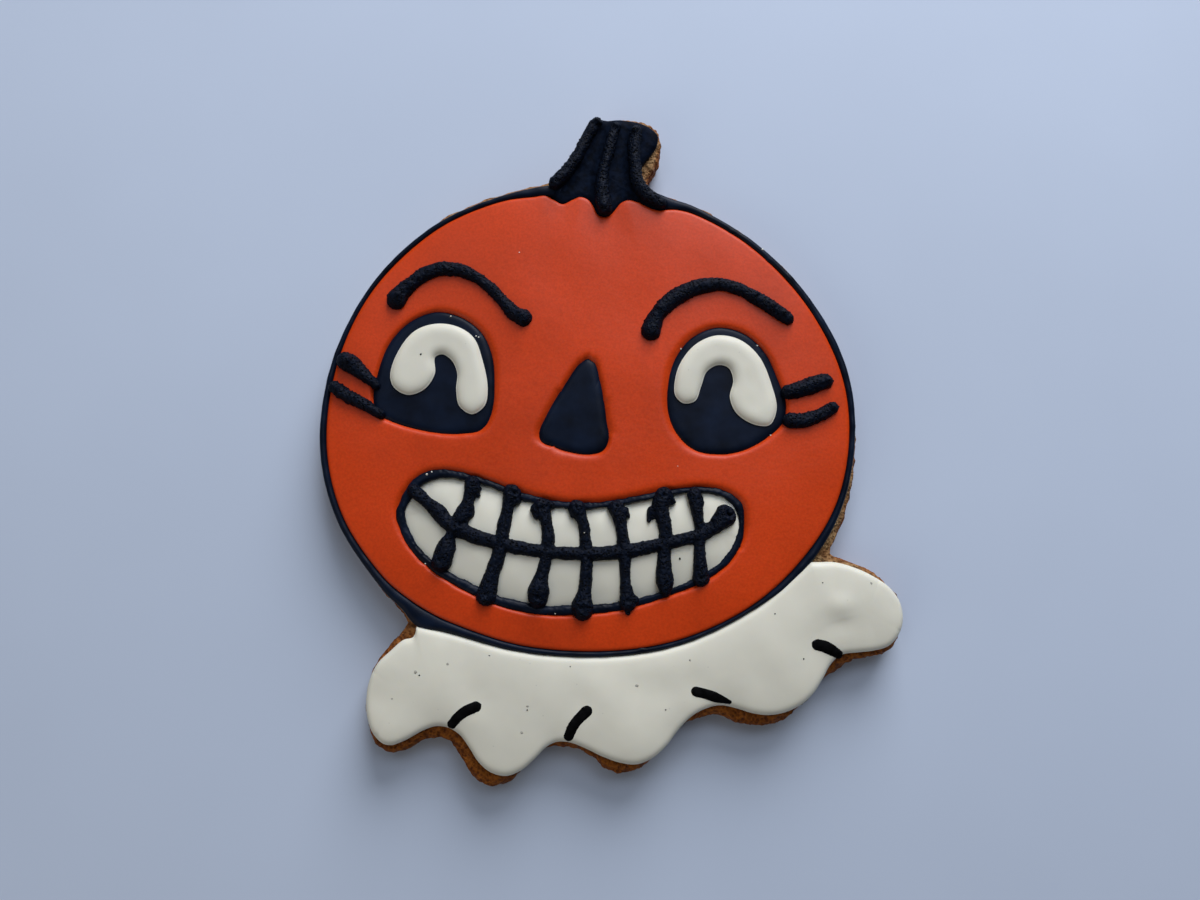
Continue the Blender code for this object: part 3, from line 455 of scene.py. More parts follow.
def grown(loop, distance):
    """A closed outline moved outwards, square to itself."""
    ring = loop[:-1] + right_of(around(loop[:-1])) * distance
    return np.vstack((ring, ring[:1]))


def edge_distance(points, loop, signed=False):
    """Distance in mm from each point to a run of points; signed is negative inside a closed run.

    It is the least distance to any of the run's straight pieces, and a point is inside where a
    ray to its right crosses the run an odd number of times.
    """
    run = at_lengths(loop, np.linspace(0.0, run_length(loop)[-1], max(40, len(loop) // 5)))
    a, ab = run[:-1], np.diff(run, axis=0)
    square = np.maximum((ab ** 2).sum(axis=1), 1e-12)
    flat = points.reshape(-1, 2)
    out = np.empty(len(flat))
    for start in range(0, len(flat), 8192):
        ap = flat[start:start + 8192, None, :] - a
        share = np.clip((ap * ab).sum(axis=2) / square, 0.0, 1.0)
        near = np.sqrt(((ap - share[..., None] * ab) ** 2).sum(axis=2).min(axis=1))
        if signed:
            above = ap[..., 1] >= 0
            crosses = above != (ap[..., 1] - ab[:, 1] >= 0)
            rise = np.where(ab[:, 1] == 0, 1e-12, ab[:, 1])
            right = ap[..., 0] < ap[..., 1] / rise * ab[:, 0]
            near = np.where((crosses & right).sum(axis=1) % 2 == 1, -near, near)
        out[start:start + 8192] = near
    return out.reshape(points.shape[:-1])


def soft_distance(points, loop):
    """Distance from each point inside a closed outline to it, with no crease anywhere.

    It is the root of 2 over the sum along the outline of its length over the distance cubed,
    which beside a straight edge is the distance itself.
    """
    run = at_lengths(loop, np.linspace(0.0, run_length(loop)[-1], len(loop) // 2))
    middle, length = (run[1:] + run[:-1]) / 2, np.linalg.norm(np.diff(run, axis=0), axis=1)
    flat = points.reshape(-1, 2)
    out = np.empty(len(flat))
    for start in range(0, len(flat), 4096):
        gap = np.linalg.norm(flat[start:start + 4096, None, :] - middle, axis=2)
        out[start:start + 4096] = np.sqrt(2 / (length / np.maximum(gap, 0.12) ** 3).sum(axis=1))
    return out.reshape(points.shape[:-1])


def rounded(distance, width, drop):
    """How far a rounded rim lies below its crown: a quarter ellipse, drop deep at the edge."""
    part = 1.0 - np.clip(distance / width, 0.0, 1.0)
    return drop * (1.0 - np.sqrt(1.0 - part ** 2))


def bump(points, x, y, wide, deep):
    """A soft round bump of height 1 at x, y, as a bell curve of the given half widths."""
    return np.exp(-((points[..., 0] - x) / wide) ** 2 - ((points[..., 1] - y) / deep) ** 2)


def laid_over(loop, spine, across, along=0, crowd=0.5):
    """Grid of points over a closed outline, and the numbers of its rim points, anticlockwise.

    The grid's rows and columns are squares round a middle run of along cells. That run lies on
    the spine, the grid's rim lies on the outline, and a point between them is a share of the way
    from its spine point to its rim point. The share grows evenly, less crowd near the rim.
    Straight across from each end of the spine, both sides of the rim meet the outline there.
    """
    spine = np.atleast_2d(np.asarray(spine, dtype=float))
    total = run_length(loop)
    if along:
        fine = curve_through(spine)
        stations = at_lengths(fine, np.linspace(0.0, run_length(fine)[-1], along + 1))
        first, last = stations[1] - stations[0], stations[-1] - stations[-2]
    else:
        stations = spine[:1]
        first = last = np.array([1.0, 0.0])

    def met(point, way, side):
        """Length along the outline where a line square to way meets it."""
        way = way / np.linalg.norm(way)
        normal = np.array([-way[1], way[0]]) * side
        off = loop[:-1] - point
        ahead = off @ normal
        score = np.where(ahead > 0, ahead + 8 * np.abs(off @ way), 1e9)
        return total[np.argmin(score)]

    span = 2 * (along + 2 * across) + 4 * across
    knots = np.array([across, along + across, along + 5 * across, 2 * along + 5 * across], float)
    marks = [met(stations[0], first, -1), met(stations[-1], last, -1),
             met(stations[-1], last, 1), met(stations[0], first, 1)]
    lengths = [marks[0]]
    for mark, cells in zip(marks[1:] + marks[:1], (along, 4 * across, along, 4 * across)):
        ahead = (mark - lengths[-1]) % total[-1] if cells else 0.0
        lengths.append(lengths[-1] + ahead)

    i, j = np.meshgrid(np.arange(-across, along + across + 1), np.arange(-across, across + 1),
                       indexing="ij")
    foot = np.clip(i, 0, along)
    level = np.maximum(np.abs(i - foot), np.abs(j))
    out = across / np.maximum(level, 1)
    u, v = foot + (i - foot) * out, j * out
    turn = np.select(
        [v <= -across + 1e-9, u >= along + across - 1e-9, v >= across - 1e-9],
        [u + across, along + 2 * across + v + across, 2 * along + 5 * across - u],
        2 * along + 6 * across + (across - v))
    turn = np.where(turn < knots[0], turn + span, turn)
    length = np.interp(turn, np.append(knots, knots[0] + span), lengths) % total[-1]
    edge = at_lengths(loop, length.ravel()).reshape(*length.shape, 2)
    share = level / across
    share = share + crowd * share * (1 - share)
    points = stations[foot] + share[..., None] * (edge - stations[foot])

    number = np.arange(i.size).reshape(i.shape)
    rim = np.concatenate((number[:-1, 0], number[-1, :-1], number[:0:-1, -1], number[0, :0:-1]))
    return points, rim


def grid_faces(rows, columns, start=0, wrap=False):
    """Four-cornered faces over a grid of vertices whose numbers begin at start."""
    return faces_over(start + np.arange(rows * columns).reshape(rows, columns), wrap)


def faces_over(number, wrap=True):
    """Four-cornered faces over a grid of vertex numbers; wrap joins its last column to the first.
    """
    if wrap:
        number = np.hstack((number, number[:, :1]))
    return np.stack((number[:-1, :-1], number[1:, :-1], number[1:, 1:], number[:-1, 1:]),
                    axis=-1).reshape(-1, 4)


def make_piece(name, verts, faces, kind, node=None, sharp=70):
    """One object from vertices in mm and arrays of faces, of a kind of finish.

    It rides on the cookie's body and takes the place of the solid that node names.
    """
    verts = np.array(verts, dtype=float)
    verts[:, :2] -= MIDDLE
    flat = np.concatenate([rows.ravel() for rows in faces])
    sizes = np.concatenate([np.full(len(rows), rows.shape[1]) for rows in faces])
    mesh = bpy.data.meshes.new(name)
    mesh.vertices.add(len(verts))
    mesh.vertices.foreach_set("co", (verts * MM).ravel())
    mesh.loops.add(len(flat))
    mesh.loops.foreach_set("vertex_index", flat.astype(np.int32))
    mesh.polygons.add(len(sizes))
    mesh.polygons.foreach_set("loop_start", (np.cumsum(sizes) - sizes).astype(np.int32))
    mesh.update(calc_edges=True)
    if mesh.validate():
        raise RuntimeError(name + " has faces that don't hold together")
    mesh.shade_smooth()
    mesh.set_sharp_from_angle(angle=math.radians(sharp))
    mesh.materials.append(finish_of(kind))
    piece = bpy.data.objects.new(name, mesh)
    bpy.context.scene.collection.objects.link(piece)
    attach(piece, "root")
    if node:
        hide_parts(node)
    return piece


def roughen(piece, *layers):
    """Move each vertex along its normal by the sum of layers, functions of its place in mm."""
    mesh = piece.data
    place = np.empty(len(mesh.vertices) * 3)
    normal = np.empty(len(mesh.vertices) * 3)
    mesh.vertices.foreach_get("co", place)
    mesh.vertices.foreach_get("normal", normal)
    place, normal = place.reshape(-1, 3), normal.reshape(-1, 3)
    points = place / MM + (*MIDDLE, 0.0)
    move = sum(layer(points) for layer in layers)
    mesh.vertices.foreach_set("co", (place + normal * move[:, None] * MM).ravel())
    mesh.update()


def crust(depth, seed, size=0.5):
    """Grain of dried icing: soft lumps of the given depth in mm, a finer grain and round pores."""
    def layer(points):
        pores = np.clip(relief(points, size, seed + 1) - 1.1, 0.0, 1.0)
        lumps = relief(points, size * 4.5, seed) + 0.6 * relief(points, size, seed + 2)
        return depth * (lumps - 3.0 * pores)
    return layer


def pits(places):
    """Round hollows left where a line was broken off: rows of x, y, half width and depth in mm."""
    def layer(points):
        return -sum(deep * bump(points, x, y, wide, wide) for x, y, wide, deep in places)
    return layer


def flood(name, loop, spine, across, along, height, base, kind, node, wall=0.0, soft=12):
    """A pool of icing: a grid over its outline at height(points), a wall down, a flat foot.

    The height is smoothed over the grid: soft times each inner one becomes its neighbours' mean.
    """
    points, rim = laid_over(loop, spine, across, along)
    rows, columns = points.shape[:2]
    level = height(points)
    for _ in range(soft):
        level[1:-1, 1:-1] = (level[:-2, 1:-1] + level[2:, 1:-1] + level[1:-1, :-2]
                             + level[1:-1, 2:]) / 4
    top = np.dstack((points, level)).reshape(-1, 3)
    edge = top[rim]
    ring = np.vstack((edge[:, :2], edge[:1, :2]))
    steps = []
    for share in (0.35, 0.7, 1.0):
        out = grown(ring, wall * math.sin(math.pi * 0.5 * share))[:-1]
        steps.append(np.column_stack((out, edge[:, 2] + (base - edge[:, 2]) * share)))
    count = len(rim)
    verts = np.vstack([top] + steps)
    number = np.vstack([rim] + [len(top) + count * k + np.arange(count) for k in range(3)])
    foot = number[-1:, ::-1]
    return make_piece(name, verts, [grid_faces(rows, columns), faces_over(number), foot], kind,
                      node)


def line_rows(path, base, rise, step=0.13, columns=28, lean=20):
    """Vertices and faces of a piped line.

    The section is part of an ellipse that leans out over its foot by lean degrees, as wide as
    the path says and rise high where it is 1 mm half wide, growing with the root of the width.
    It is carried along the path, and its ends are drawn in to a round cap.
    """
    middle = even_path(path, step)
    way = np.gradient(middle[:, :2], axis=0)
    way /= np.linalg.norm(way, axis=1)[:, None]
    cap = np.radians(np.linspace(6, 84, CAP_ROWS))
    reach = np.concatenate((-np.cos(cap), np.zeros(len(middle)), np.cos(cap[::-1])))
    shrink = np.concatenate((np.sin(cap), np.ones(len(middle)), np.sin(cap[::-1])))
    pick = np.clip(np.arange(len(reach)) - CAP_ROWS, 0, len(middle) - 1)
    middle, way = middle[pick], way[pick]
    half = middle[:, 2]
    spot = middle[:, :2] + way * (reach * half)[:, None]
    side = right_of(way)
    angle = np.radians(np.linspace(-lean, 180 + lean, columns))
    wide, up = np.cos(angle), (np.sin(angle) + math.sin(math.radians(lean)))
    up = up / up.max()
    flat = spot[:, None, :] + side[:, None, :] * (half * shrink)[:, None, None] * wide[:, None]
    height = base + rise * np.sqrt(half)[:, None] * (0.25 + 0.75 * shrink)[:, None] * up
    verts = np.dstack((flat, height)).reshape(-1, 3)
    rows = len(spot)
    ends = [np.arange(columns)[None, :], (np.arange(columns) + (rows - 1) * columns)[None, ::-1]]
    faces = [grid_faces(rows, columns, wrap=True)[:, ::-1]] + [end[:, ::-1] for end in ends]
    return verts, faces


def piped(node, paths, base, rise):
    """One object of one or more piped lines, in place of a node."""
    verts, faces, start = [], [], 0
    for path in paths:
        rows, sides = line_rows(seen_at(path, LINE_EDGE), base, rise)
        verts.append(rows)
        faces += [part + start for part in sides]
        start += len(rows)
    return make_piece(node + "_piped", np.vstack(verts), faces, "piped", node)


def run_together(piece, voxel):
    """Melt overlapping lines into one skin, with a voxel remesh of the given size in mm."""
    remesh = piece.modifiers.new("run together", "REMESH")
    remesh.mode = "VOXEL"
    remesh.voxel_size = voxel * MM
    remesh.use_smooth_shade = True
    depsgraph = bpy.context.evaluated_depsgraph_get()
    skin = bpy.data.meshes.new_from_object(piece.evaluated_get(depsgraph))
    piece.modifiers.clear()
    finish = piece.data.materials[0]
    piece.data = skin
    skin.name = piece.name
    skin.materials.clear()
    skin.materials.append(finish)
    skin.shade_smooth()


def add(tree, kind, settings=None, values=None, links=None, stops=None):
    """Add a shader node with its settings, socket values, incoming links and ramp stops."""
    node = tree.nodes.new(kind)
    for name, value in (settings or {}).items():
        setattr(node, name, value)
    for name, value in (values or {}).items():
        node.inputs[name].default_value = value
    for name, source in (links or {}).items():
        tree.links.new(source, node.inputs[name])
    if stops:
        ramp = node.color_ramp
        while len(ramp.elements) < len(stops):
            ramp.elements.new(1.0)
        for element, (position, colour) in zip(ramp.elements, stops):
            element.position = position
            element.color = colour
    return node


def grain(tree, where, size, detail=3.0, roughness=0.55):
    """Noise whose lumps are about size mm across, on Object coordinates."""
    return add(tree, "ShaderNodeTexNoise",
               values={"Scale": 0.5 / (size * MM), "Detail": detail, "Roughness": roughness},
               links={"Vector": where}).outputs["Fac"]


def new_material(name):
    """An empty Principled material; returns it, its node tree and its Object coordinates."""
    material = bpy.data.materials.new(name)
    material.use_nodes = True
    tree = material.node_tree
    return material, tree, add(tree, "ShaderNodeTexCoord").outputs["Object"]


def shade(colour, factor=1.0):
    """A linear colour made darker or lighter by a factor, with alpha."""
    return [min(1.0, c * factor) for c in colour[:3]] + [1.0]


def dressed(material, tone, specular, gloss, tooth=None, glow=None):
    """Link a material's parts to its shader, and return the material.

    tone is the colour's socket. gloss is one roughness, or the lowest, the highest and the socket
    that goes between them. tooth is a bump: its strength, its depth in mm and its height's
    socket. glow is the weight of the light scattered inside, and how far its red, green and blue
    reach as shares of GLOW_REACH.
    """
    tree = material.node_tree
    shader = tree.nodes["Principled BSDF"]
    tree.links.new(tone, shader.inputs["Base Color"])
    shader.inputs["Specular IOR Level"].default_value = specular
    if isinstance(gloss, float):
        shader.inputs["Roughness"].default_value = gloss
    else:
        spread = add(tree, "ShaderNodeMapRange", values={"To Min": gloss[0], "To Max": gloss[1]},
                     links={"Value": gloss[2]})
        tree.links.new(spread.outputs["Result"], shader.inputs["Roughness"])
    if tooth:
        bumps = add(tree, "ShaderNodeBump", links={"Height": tooth[2]},
                    values={"Strength": tooth[0], "Distance": tooth[1] * MM})
        tree.links.new(bumps.outputs["Normal"], shader.inputs["Normal"])
    if glow:
        shader.inputs["Subsurface Weight"].default_value = glow[0]
        shader.inputs["Subsurface Radius"].default_value = glow[1]
        shader.inputs["Subsurface Scale"].default_value = GLOW_REACH * MM
    return material


def flood_icing_orange(colour):
    """Royal icing flooded and dried: satin, a little mottled, its sheen broken by fine ripples.

    Specks and ripples are drawn coarser than sugar grains, so that they show.
    """
    material, tree, where = new_material("flooded_royal_icing_orange")
    mottle = add(tree, "ShaderNodeValToRGB", links={"Fac": grain(tree, where, 9.0)},
                 stops=((0.3, shade(colour, 0.86)), (0.5, shade(colour)),
                        (0.72, shade(colour, 1.1))))
    specks = add(tree, "ShaderNodeValToRGB", links={"Fac": grain(tree, where, 0.2, 2.0)},
                 stops=((0.3, (0.8, 0.78, 0.78, 1)), (0.65, (1, 1, 1, 1))))
    tint = add(tree, "ShaderNodeMix", MULTIPLIED, {"Factor": 0.75},
               {"A": mottle.outputs["Color"], "B": specks.outputs["Color"]})
    return dressed(material, tint.outputs["Result"], 0.22, (0.36, 0.46, grain(tree, where, 3.0)),
                   (0.7, 0.04, grain(tree, where, 0.45, 4.0)), (0.12, (1.0, 0.35, 0.12)))


def flood_icing_black(colour):
    """Black royal icing flooded and dried: smooth, with a satin sheen and a few dull patches."""
    material, tree, where = new_material("flooded_royal_icing_black")
    mottle = add(tree, "ShaderNodeValToRGB", links={"Fac": grain(tree, where, 2.5)},
                 stops=((0.3, shade(colour, 0.5)), (0.7, shade(colour, 1.7))))
    return dressed(material, mottle.outputs["Color"], 0.1, (0.34, 0.44, grain(tree, where, 1.6)),
                   (0.5, 0.04, grain(tree, where, 0.9, 4.0)))


def matt_icing_black(colour):
    """Black icing dried dull: dark, with a faint grain and hardly any sheen."""
    material, tree, where = new_material("matt_royal_icing_black")
    mottle = add(tree, "ShaderNodeValToRGB", links={"Fac": grain(tree, where, 0.5, 5.0)},
                 stops=((0.35, shade(colour, 0.35)), (0.7, shade(colour, 1.3))))
    return dressed(material, mottle.outputs["Color"], 0.03, 0.6,
                   (0.7, 0.08, grain(tree, where, 0.35, 4.0)))


def piped_icing_black(colour):
    """Black royal icing piped stiff: a dull crust with painted shade and painted highlights.

    Its colour follows the height of its bump: painted shade darkens its pinholes, and a painted
    slaty highlight lightens its crumbs. Its grit is drawn at about 0.4 mm, coarser than the real
    one, so that it shows.
    """
    material, tree, where = new_material("piped_royal_icing_black")
    pores = add(tree, "ShaderNodeTexVoronoi", values={"Scale": 1 / (0.45 * MM)},
                links={"Vector": where})
    holes = add(tree, "ShaderNodeMapRange", values={"From Min": 0.08, "From Max": 0.4},
                links={"Value": pores.outputs["Distance"]})
    rough = add(tree, "ShaderNodeMath", {"operation": "MULTIPLY_ADD"}, {1: 1.3},
                {0: grain(tree, where, 0.28, 4.0), 2: holes.outputs["Result"]})
    level = add(tree, "ShaderNodeMapRange", values={"From Min": 0.5, "From Max": 2.0},
                links={"Value": rough.outputs["Value"]})
    # Painted shade and highlight: the tone is darkest in the pinholes and slaty on the raised
    # crumbs, following the bump's height.
    tone = add(tree, "ShaderNodeValToRGB", links={"Fac": level.outputs["Result"]},
               stops=((0.25, shade(colour, 0.03)), (0.55, shade(colour, 0.25)),
                      (0.9, shade(colour, 1.15))))
    return dressed(material, tone.outputs["Color"], 0.085, (0.42, 0.62, grain(tree, where, 0.8)),
                   (1.0, 0.2, rough.outputs["Value"]))


def flood_icing_ivory(colour):
    """Undyed royal icing: warm white, satin, with a few grey specks of dust and crumb."""
    material, tree, where = new_material("flooded_royal_icing_ivory")
    mottle = add(tree, "ShaderNodeValToRGB", links={"Fac": grain(tree, where, 6.0)},
                 stops=((0.3, shade(colour, 0.92)), (0.7, shade(colour, 1.04))))
    dust = add(tree, "ShaderNodeTexVoronoi", values={"Scale": 1 / (2.6 * MM)},
               links={"Vector": where})
    speck = add(tree, "ShaderNodeValToRGB", links={"Fac": dust.outputs["Distance"]},
                stops=((0.03, (0.4, 0.4, 0.42, 1)), (0.05, (1, 1, 1, 1))))
    tint = add(tree, "ShaderNodeMix", MULTIPLIED, {"Factor": 0.25},
               {"A": mottle.outputs["Color"], "B": speck.outputs["Color"]})
    return dressed(material, tint.outputs["Result"], 0.35, (0.4, 0.55, grain(tree, where, 2.0)),
                   (0.3, 0.02, grain(tree, where, 0.9, 4.0)), (0.2, (1.0, 0.8, 0.5)))


def baked_crust(colour):
    """Baked sugar-biscuit dough: matt and sandy, brown, with its top painted greyer and paler.

    The paler top is a painted sheen of the window light; it shows at the stem and the head, and
    along the frill the crust is brown throughout.
    The grain is drawn at half a millimetre, coarser than real crumb, so that it shows.
    """
    material, tree, where = new_material("baked_sugar_biscuit")
    place = add(tree, "ShaderNodeSeparateXYZ", links={"Vector": where})
    # Painted sheen: above 4.4 mm and near the head and stem the crust turns to the paler, greyer
    # #b59468, standing in for window light caught on its top.
    high = add(tree, "ShaderNodeMapRange", values={"From Min": 4.4 * MM, "From Max": 5.4 * MM},
               links={"Value": place.outputs["Z"]})
    upper = add(tree, "ShaderNodeMapRange",
                values={"From Min": -34 * MM, "From Max": -26 * MM, "To Max": 0.9},
                links={"Value": place.outputs["Y"]})
    pale = add(tree, "ShaderNodeMath", {"operation": "MULTIPLY"},
               links={0: high.outputs["Result"], 1: upper.outputs["Result"]})
    dough = add(tree, "ShaderNodeMix", {"data_type": "RGBA"},
                {"A": shade(colour), "B": linear("#b59468")}, {"Factor": pale.outputs["Value"]})
    # The sand ramp follows the bump's height: it is darker in the cracks and low spots, painted
    # shade there, over the crumb's own speckled tone.
    cracks = add(tree, "ShaderNodeTexVoronoi", values={"Scale": 1 / (0.5 * MM)},
                 links={"Vector": where})
    rough = add(tree, "ShaderNodeMath", {"operation": "MULTIPLY_ADD"}, {1: 2.4},
                {0: grain(tree, where, 0.4, 4.0, 0.6), 2: cracks.outputs["Distance"]})
    level = add(tree, "ShaderNodeMapRange", values={"From Min": 1.15, "From Max": 2.15},
                links={"Value": rough.outputs["Value"]})
    sand = add(tree, "ShaderNodeValToRGB", links={"Fac": level.outputs["Result"]},
               stops=((0.1, (0.36, 0.28, 0.2, 1)), (0.5, (0.68, 0.62, 0.56, 1)),
                      (0.85, (1, 1, 1, 1))))
    tint = add(tree, "ShaderNodeMix", MULTIPLIED, {"Factor": 1.0},
               {"A": dough.outputs["Result"], "B": sand.outputs["Color"]})
    return dressed(material, tint.outputs["Result"], 0.25, 0.8, (1.0, 0.3, rough.outputs["Value"]))


def grey_dust(colour):
    """Dust sunk into drying icing: the icing's own white dulled to grey, paler in places."""
    material, tree, where = new_material("sunken_dust")
    tone = add(tree, "ShaderNodeValToRGB", links={"Fac": grain(tree, where, 0.15, 2.0)},
               stops=((0.35, shade(colour, 0.42)), (0.65, shade(colour, 0.62))))
    return dressed(material, tone.outputs["Color"], 0.3, 0.6)


def matt_paper(colour):
    """A plain pale studio sheet: matt, with a trace of cloudiness as paper has."""
    material, tree, where = new_material("matt_paper")
    tone = add(tree, "ShaderNodeValToRGB", links={"Fac": grain(tree, where, 40.0)},
               stops=((0.3, shade(colour, 0.97)), (0.7, shade(colour, 1.02))))
    return dressed(material, tone.outputs["Color"], 0.5, 0.9)


# Each kind of finish: what makes it, the colour setting that it takes, and its slot
FINISHES = {
    "orange": (flood_icing_orange, "orange", "orange_icing"),
    "black": (flood_icing_black, "black", "black_icing"),
    "piped": (piped_icing_black, "black", "black_icing"),
    "stem": (matt_icing_black, "black", "black_icing"),
    "mark": (matt_icing_black, "mark", "black_icing"),
    "ivory": (flood_icing_ivory, "ivory", "ivory_icing"),
    "dust": (grey_dust, "ivory", "ivory_icing"),
    "crust": (baked_crust, "crust", "baked_biscuit"),
    "floor": (matt_paper, "floor", None),
}
MADE = {}


def finish_of(kind):
    """The material of a kind of finish, made the first time that it is asked for."""
    if kind not in MADE:
        maker, colour, _ = FINISHES[kind]
        MADE[kind] = maker(tuple(getattr(bpy.context.scene.cookie_colours, colour)))
    return MADE[kind]


def head_edge(side, ends=((), ())):
    """Outer (0) or inner (1) edge of the line round the head, 0.25 mm a station.

    Rows in ends carry the line on past its first and last rows.
    """
    fine = curve_through(ends[0] + HEAD_RING + ends[1])
    middle = (fine[:, :2] + fine[:, 2:]) / 2
    run = run_length(middle)
    where = np.linspace(0.0, run[-1], round(run[-1] / 0.25) + 1)
    return np.stack([np.interp(where, run, fine[:, 2 * side + k]) for k in (0, 1)], axis=1)


class COOKIE_OT_biscuit(bpy.types.Operator):
    """Make the baked biscuit"""

    bl_idname = "cookie.biscuit"
    bl_label = "Biscuit"

    def execute(self, context):
        """Grids over and under the outline, joined by a soft rough wall."""
        top = context.scene.cookie_sizes.biscuit_top / MM
        loop = grown(outline(seen_at(BISCUIT, BISCUIT_EDGE)), -0.2)
        points, rim = laid_over(loop, ((0.0, -22.0), (0.0, 44.0)), 82, 80, crowd=0.6)
        edge = edge_distance(points, loop)
        bake = 0.12 * relief(points, 7.0, 11) + 0.07 * relief(points, 1.6, 12)
        upper = top - rounded(edge, 1.7, 1.1) + bake * np.clip(edge, 0.0, 1.0)
        lower = rounded(edge, 1.0, 0.9) + 0.03 * np.abs(relief(points, 2.0, 13))
        rows, columns = points.shape[:2]
        above = np.dstack((points, upper)).reshape(-1, 3)
        below = np.dstack((points, lower)).reshape(-1, 3)
        high, low = above[rim, 2], below[rim, 2]
        ring = np.vstack((above[rim, :2], above[rim[:1], :2]))
        shares = np.linspace(0.0, 1.0, 14)[1:-1]
        steps = [np.column_stack((grown(ring, 0.2 * math.sin(math.pi * share))[:-1],
                                  high + (low - high) * share)) for share in shares]
        count, size = len(rim), len(above)
        number = np.vstack([rim] + [2 * size + count * k + np.arange(count)
                                    for k in range(len(shares))] + [size + rim])
        faces = [grid_faces(rows, columns), faces_over(number),
                 grid_faces(rows, columns, size)[:, ::-1]]
        piece = make_piece("biscuit_crust", np.vstack([above, below] + steps), faces, "crust",
                           "biscuit")
        roughen(piece, lambda p: np.clip(p[:, 2], 0.0, 1.0)
                * (0.08 * relief(p, 2.6, 14) + 0.07 * relief(p, 1.0, 15)))
        return {"FINISHED"}


class COOKIE_OT_head_line(bpy.types.Operator):
    """Make the black line round the head"""

    bl_idname = "cookie.head_line"
    bl_label = "Head line"

    def execute(self, context):
        """A low rounded section carried from one foot of the stem to the other."""
        top = context.scene.cookie_sizes.black_flood / MM
        outer, inner = head_edge(0, HEAD_ENDS), head_edge(1, HEAD_ENDS)
        out = np.clip((outer[:, 1:] + 29.0) / 3.0, 0.0, 1.0) * (outer - inner)
        outer = outer + 0.24 * out / np.linalg.norm(outer - inner, axis=1)[:, None]
        for x, y in HEAD_NOTCHES:
            inner += 0.3 * bump(inner, x, y, 0.5, 0.5)[:, None] * (inner - outer)
        angle = np.radians(np.linspace(0, 180, 19))
        share, up = 0.5 - 0.5 * np.cos(angle), np.sin(angle) ** 0.55
        share, up = np.append(share, (1.0, 0.0)), np.append(up, (-0.25, -0.25))
        flat = outer[:, None, :] + (inner - outer)[:, None, :] * share[:, None]
        height = HEAD_FOOT + (top - 0.15 - HEAD_FOOT) * up + np.zeros(len(outer))[:, None]
        height += 0.03 * relief(flat, 3.0, 21) * (up > 0.4)
        verts = np.dstack((flat, height)).reshape(-1, 3)
        columns = len(share)
        last = (len(outer) - 1) * columns
        ends = [np.arange(columns)[None, :], (np.arange(columns)[::-1] + last)[None, :]]
        faces = [grid_faces(len(outer), columns, wrap=True)] + ends
        make_piece("head_line", verts, faces, "black", "head_outline")
        return {"FINISHED"}


class COOKIE_OT_orange(bpy.types.Operator):
    """Make the orange flood"""

    bl_idname = "cookie.orange"
    bl_label = "Orange flood"

    def execute(self, context):
        """A crowned pool that dips to a soft edge at the eyes, the nose, the mouth and the line."""
        crown = context.scene.cookie_sizes.orange_crown / MM
        loop = outline(np.vstack((head_edge(1)[::8], STEM_FOOT)))
        openings = [outline(EYES["left"]), outline(EYES["right"]), outline(NOSE),
                    grown(outline(MOUTH), 0.72)]

        def height(points):
            edge = edge_distance(points, loop)
            z = crown - rounded(edge, 0.5, 0.22) - 0.5 * np.exp(-edge / 4.5)
            for opening in openings:
                gap = edge_distance(points, opening, signed=True)
                above = 0.5 + 0.5 * np.tanh((points[..., 1] - opening[:, 1].mean()) / 2.0)
                lip = (0.04 + 0.16 * above) * (1.0 - np.clip(gap / 1.2, 0.0, 1.0)) ** 2
                z -= np.where(gap > 0, lip, np.minimum(0.5 - 1.6 * gap, 1.6))
            return z + 0.04 * relief(points, 16.0, 31) + 0.003 * relief(points, 3.0, 32)

        flood("orange_flood", loop, (-3.2, 3.0), 154, 0, height, FLOOD_FOOT, "orange",
              "orange_icing", soft=3)
        return {"FINISHED"}


class COOKIE_OT_stem(bpy.types.Operator):
    """Make the stem and its ribs"""

    bl_idname = "cookie.stem"
    bl_label = "Stem"

    def execute(self, context):
        """A black pool with three piped ribs."""
        sizes = context.scene.cookie_sizes
        top = sizes.black_flood / MM + 0.15
        loop = grown(outline(STEM_FOOT[::-1] + STEM_BODY), 0.12)
        runs = [even_path(path, 0.5)[:, :2] for path in STEM_RIBS.values()]

        def height(points):
            edge = edge_distance(points, loop)
            flutes = sum(np.exp(-(edge_distance(points, run) / 1.5) ** 2) for run in runs)
            return (top - 0.6 - rounded(edge, 1.2, 0.6) + 0.85 * np.minimum(flutes, 1.0)
                    + 0.03 * relief(points, 3.0, 41) + 0.012 * relief(points, 0.7, 40))

        flood("stem_flood", loop, (0.3, 43.5), 76, 0, height, FLOOD_FOOT, "stem", "stem_icing",
              soft=3)
        for seed, (side, path) in enumerate(STEM_RIBS.items()):
            rib = piped("stem_rib_" + side, [path], top - 0.35, sizes.rib_rise / MM)
            roughen(rib, crust(0.045, 42 + 3 * seed), pits(PITS))
        return {"FINISHED"}


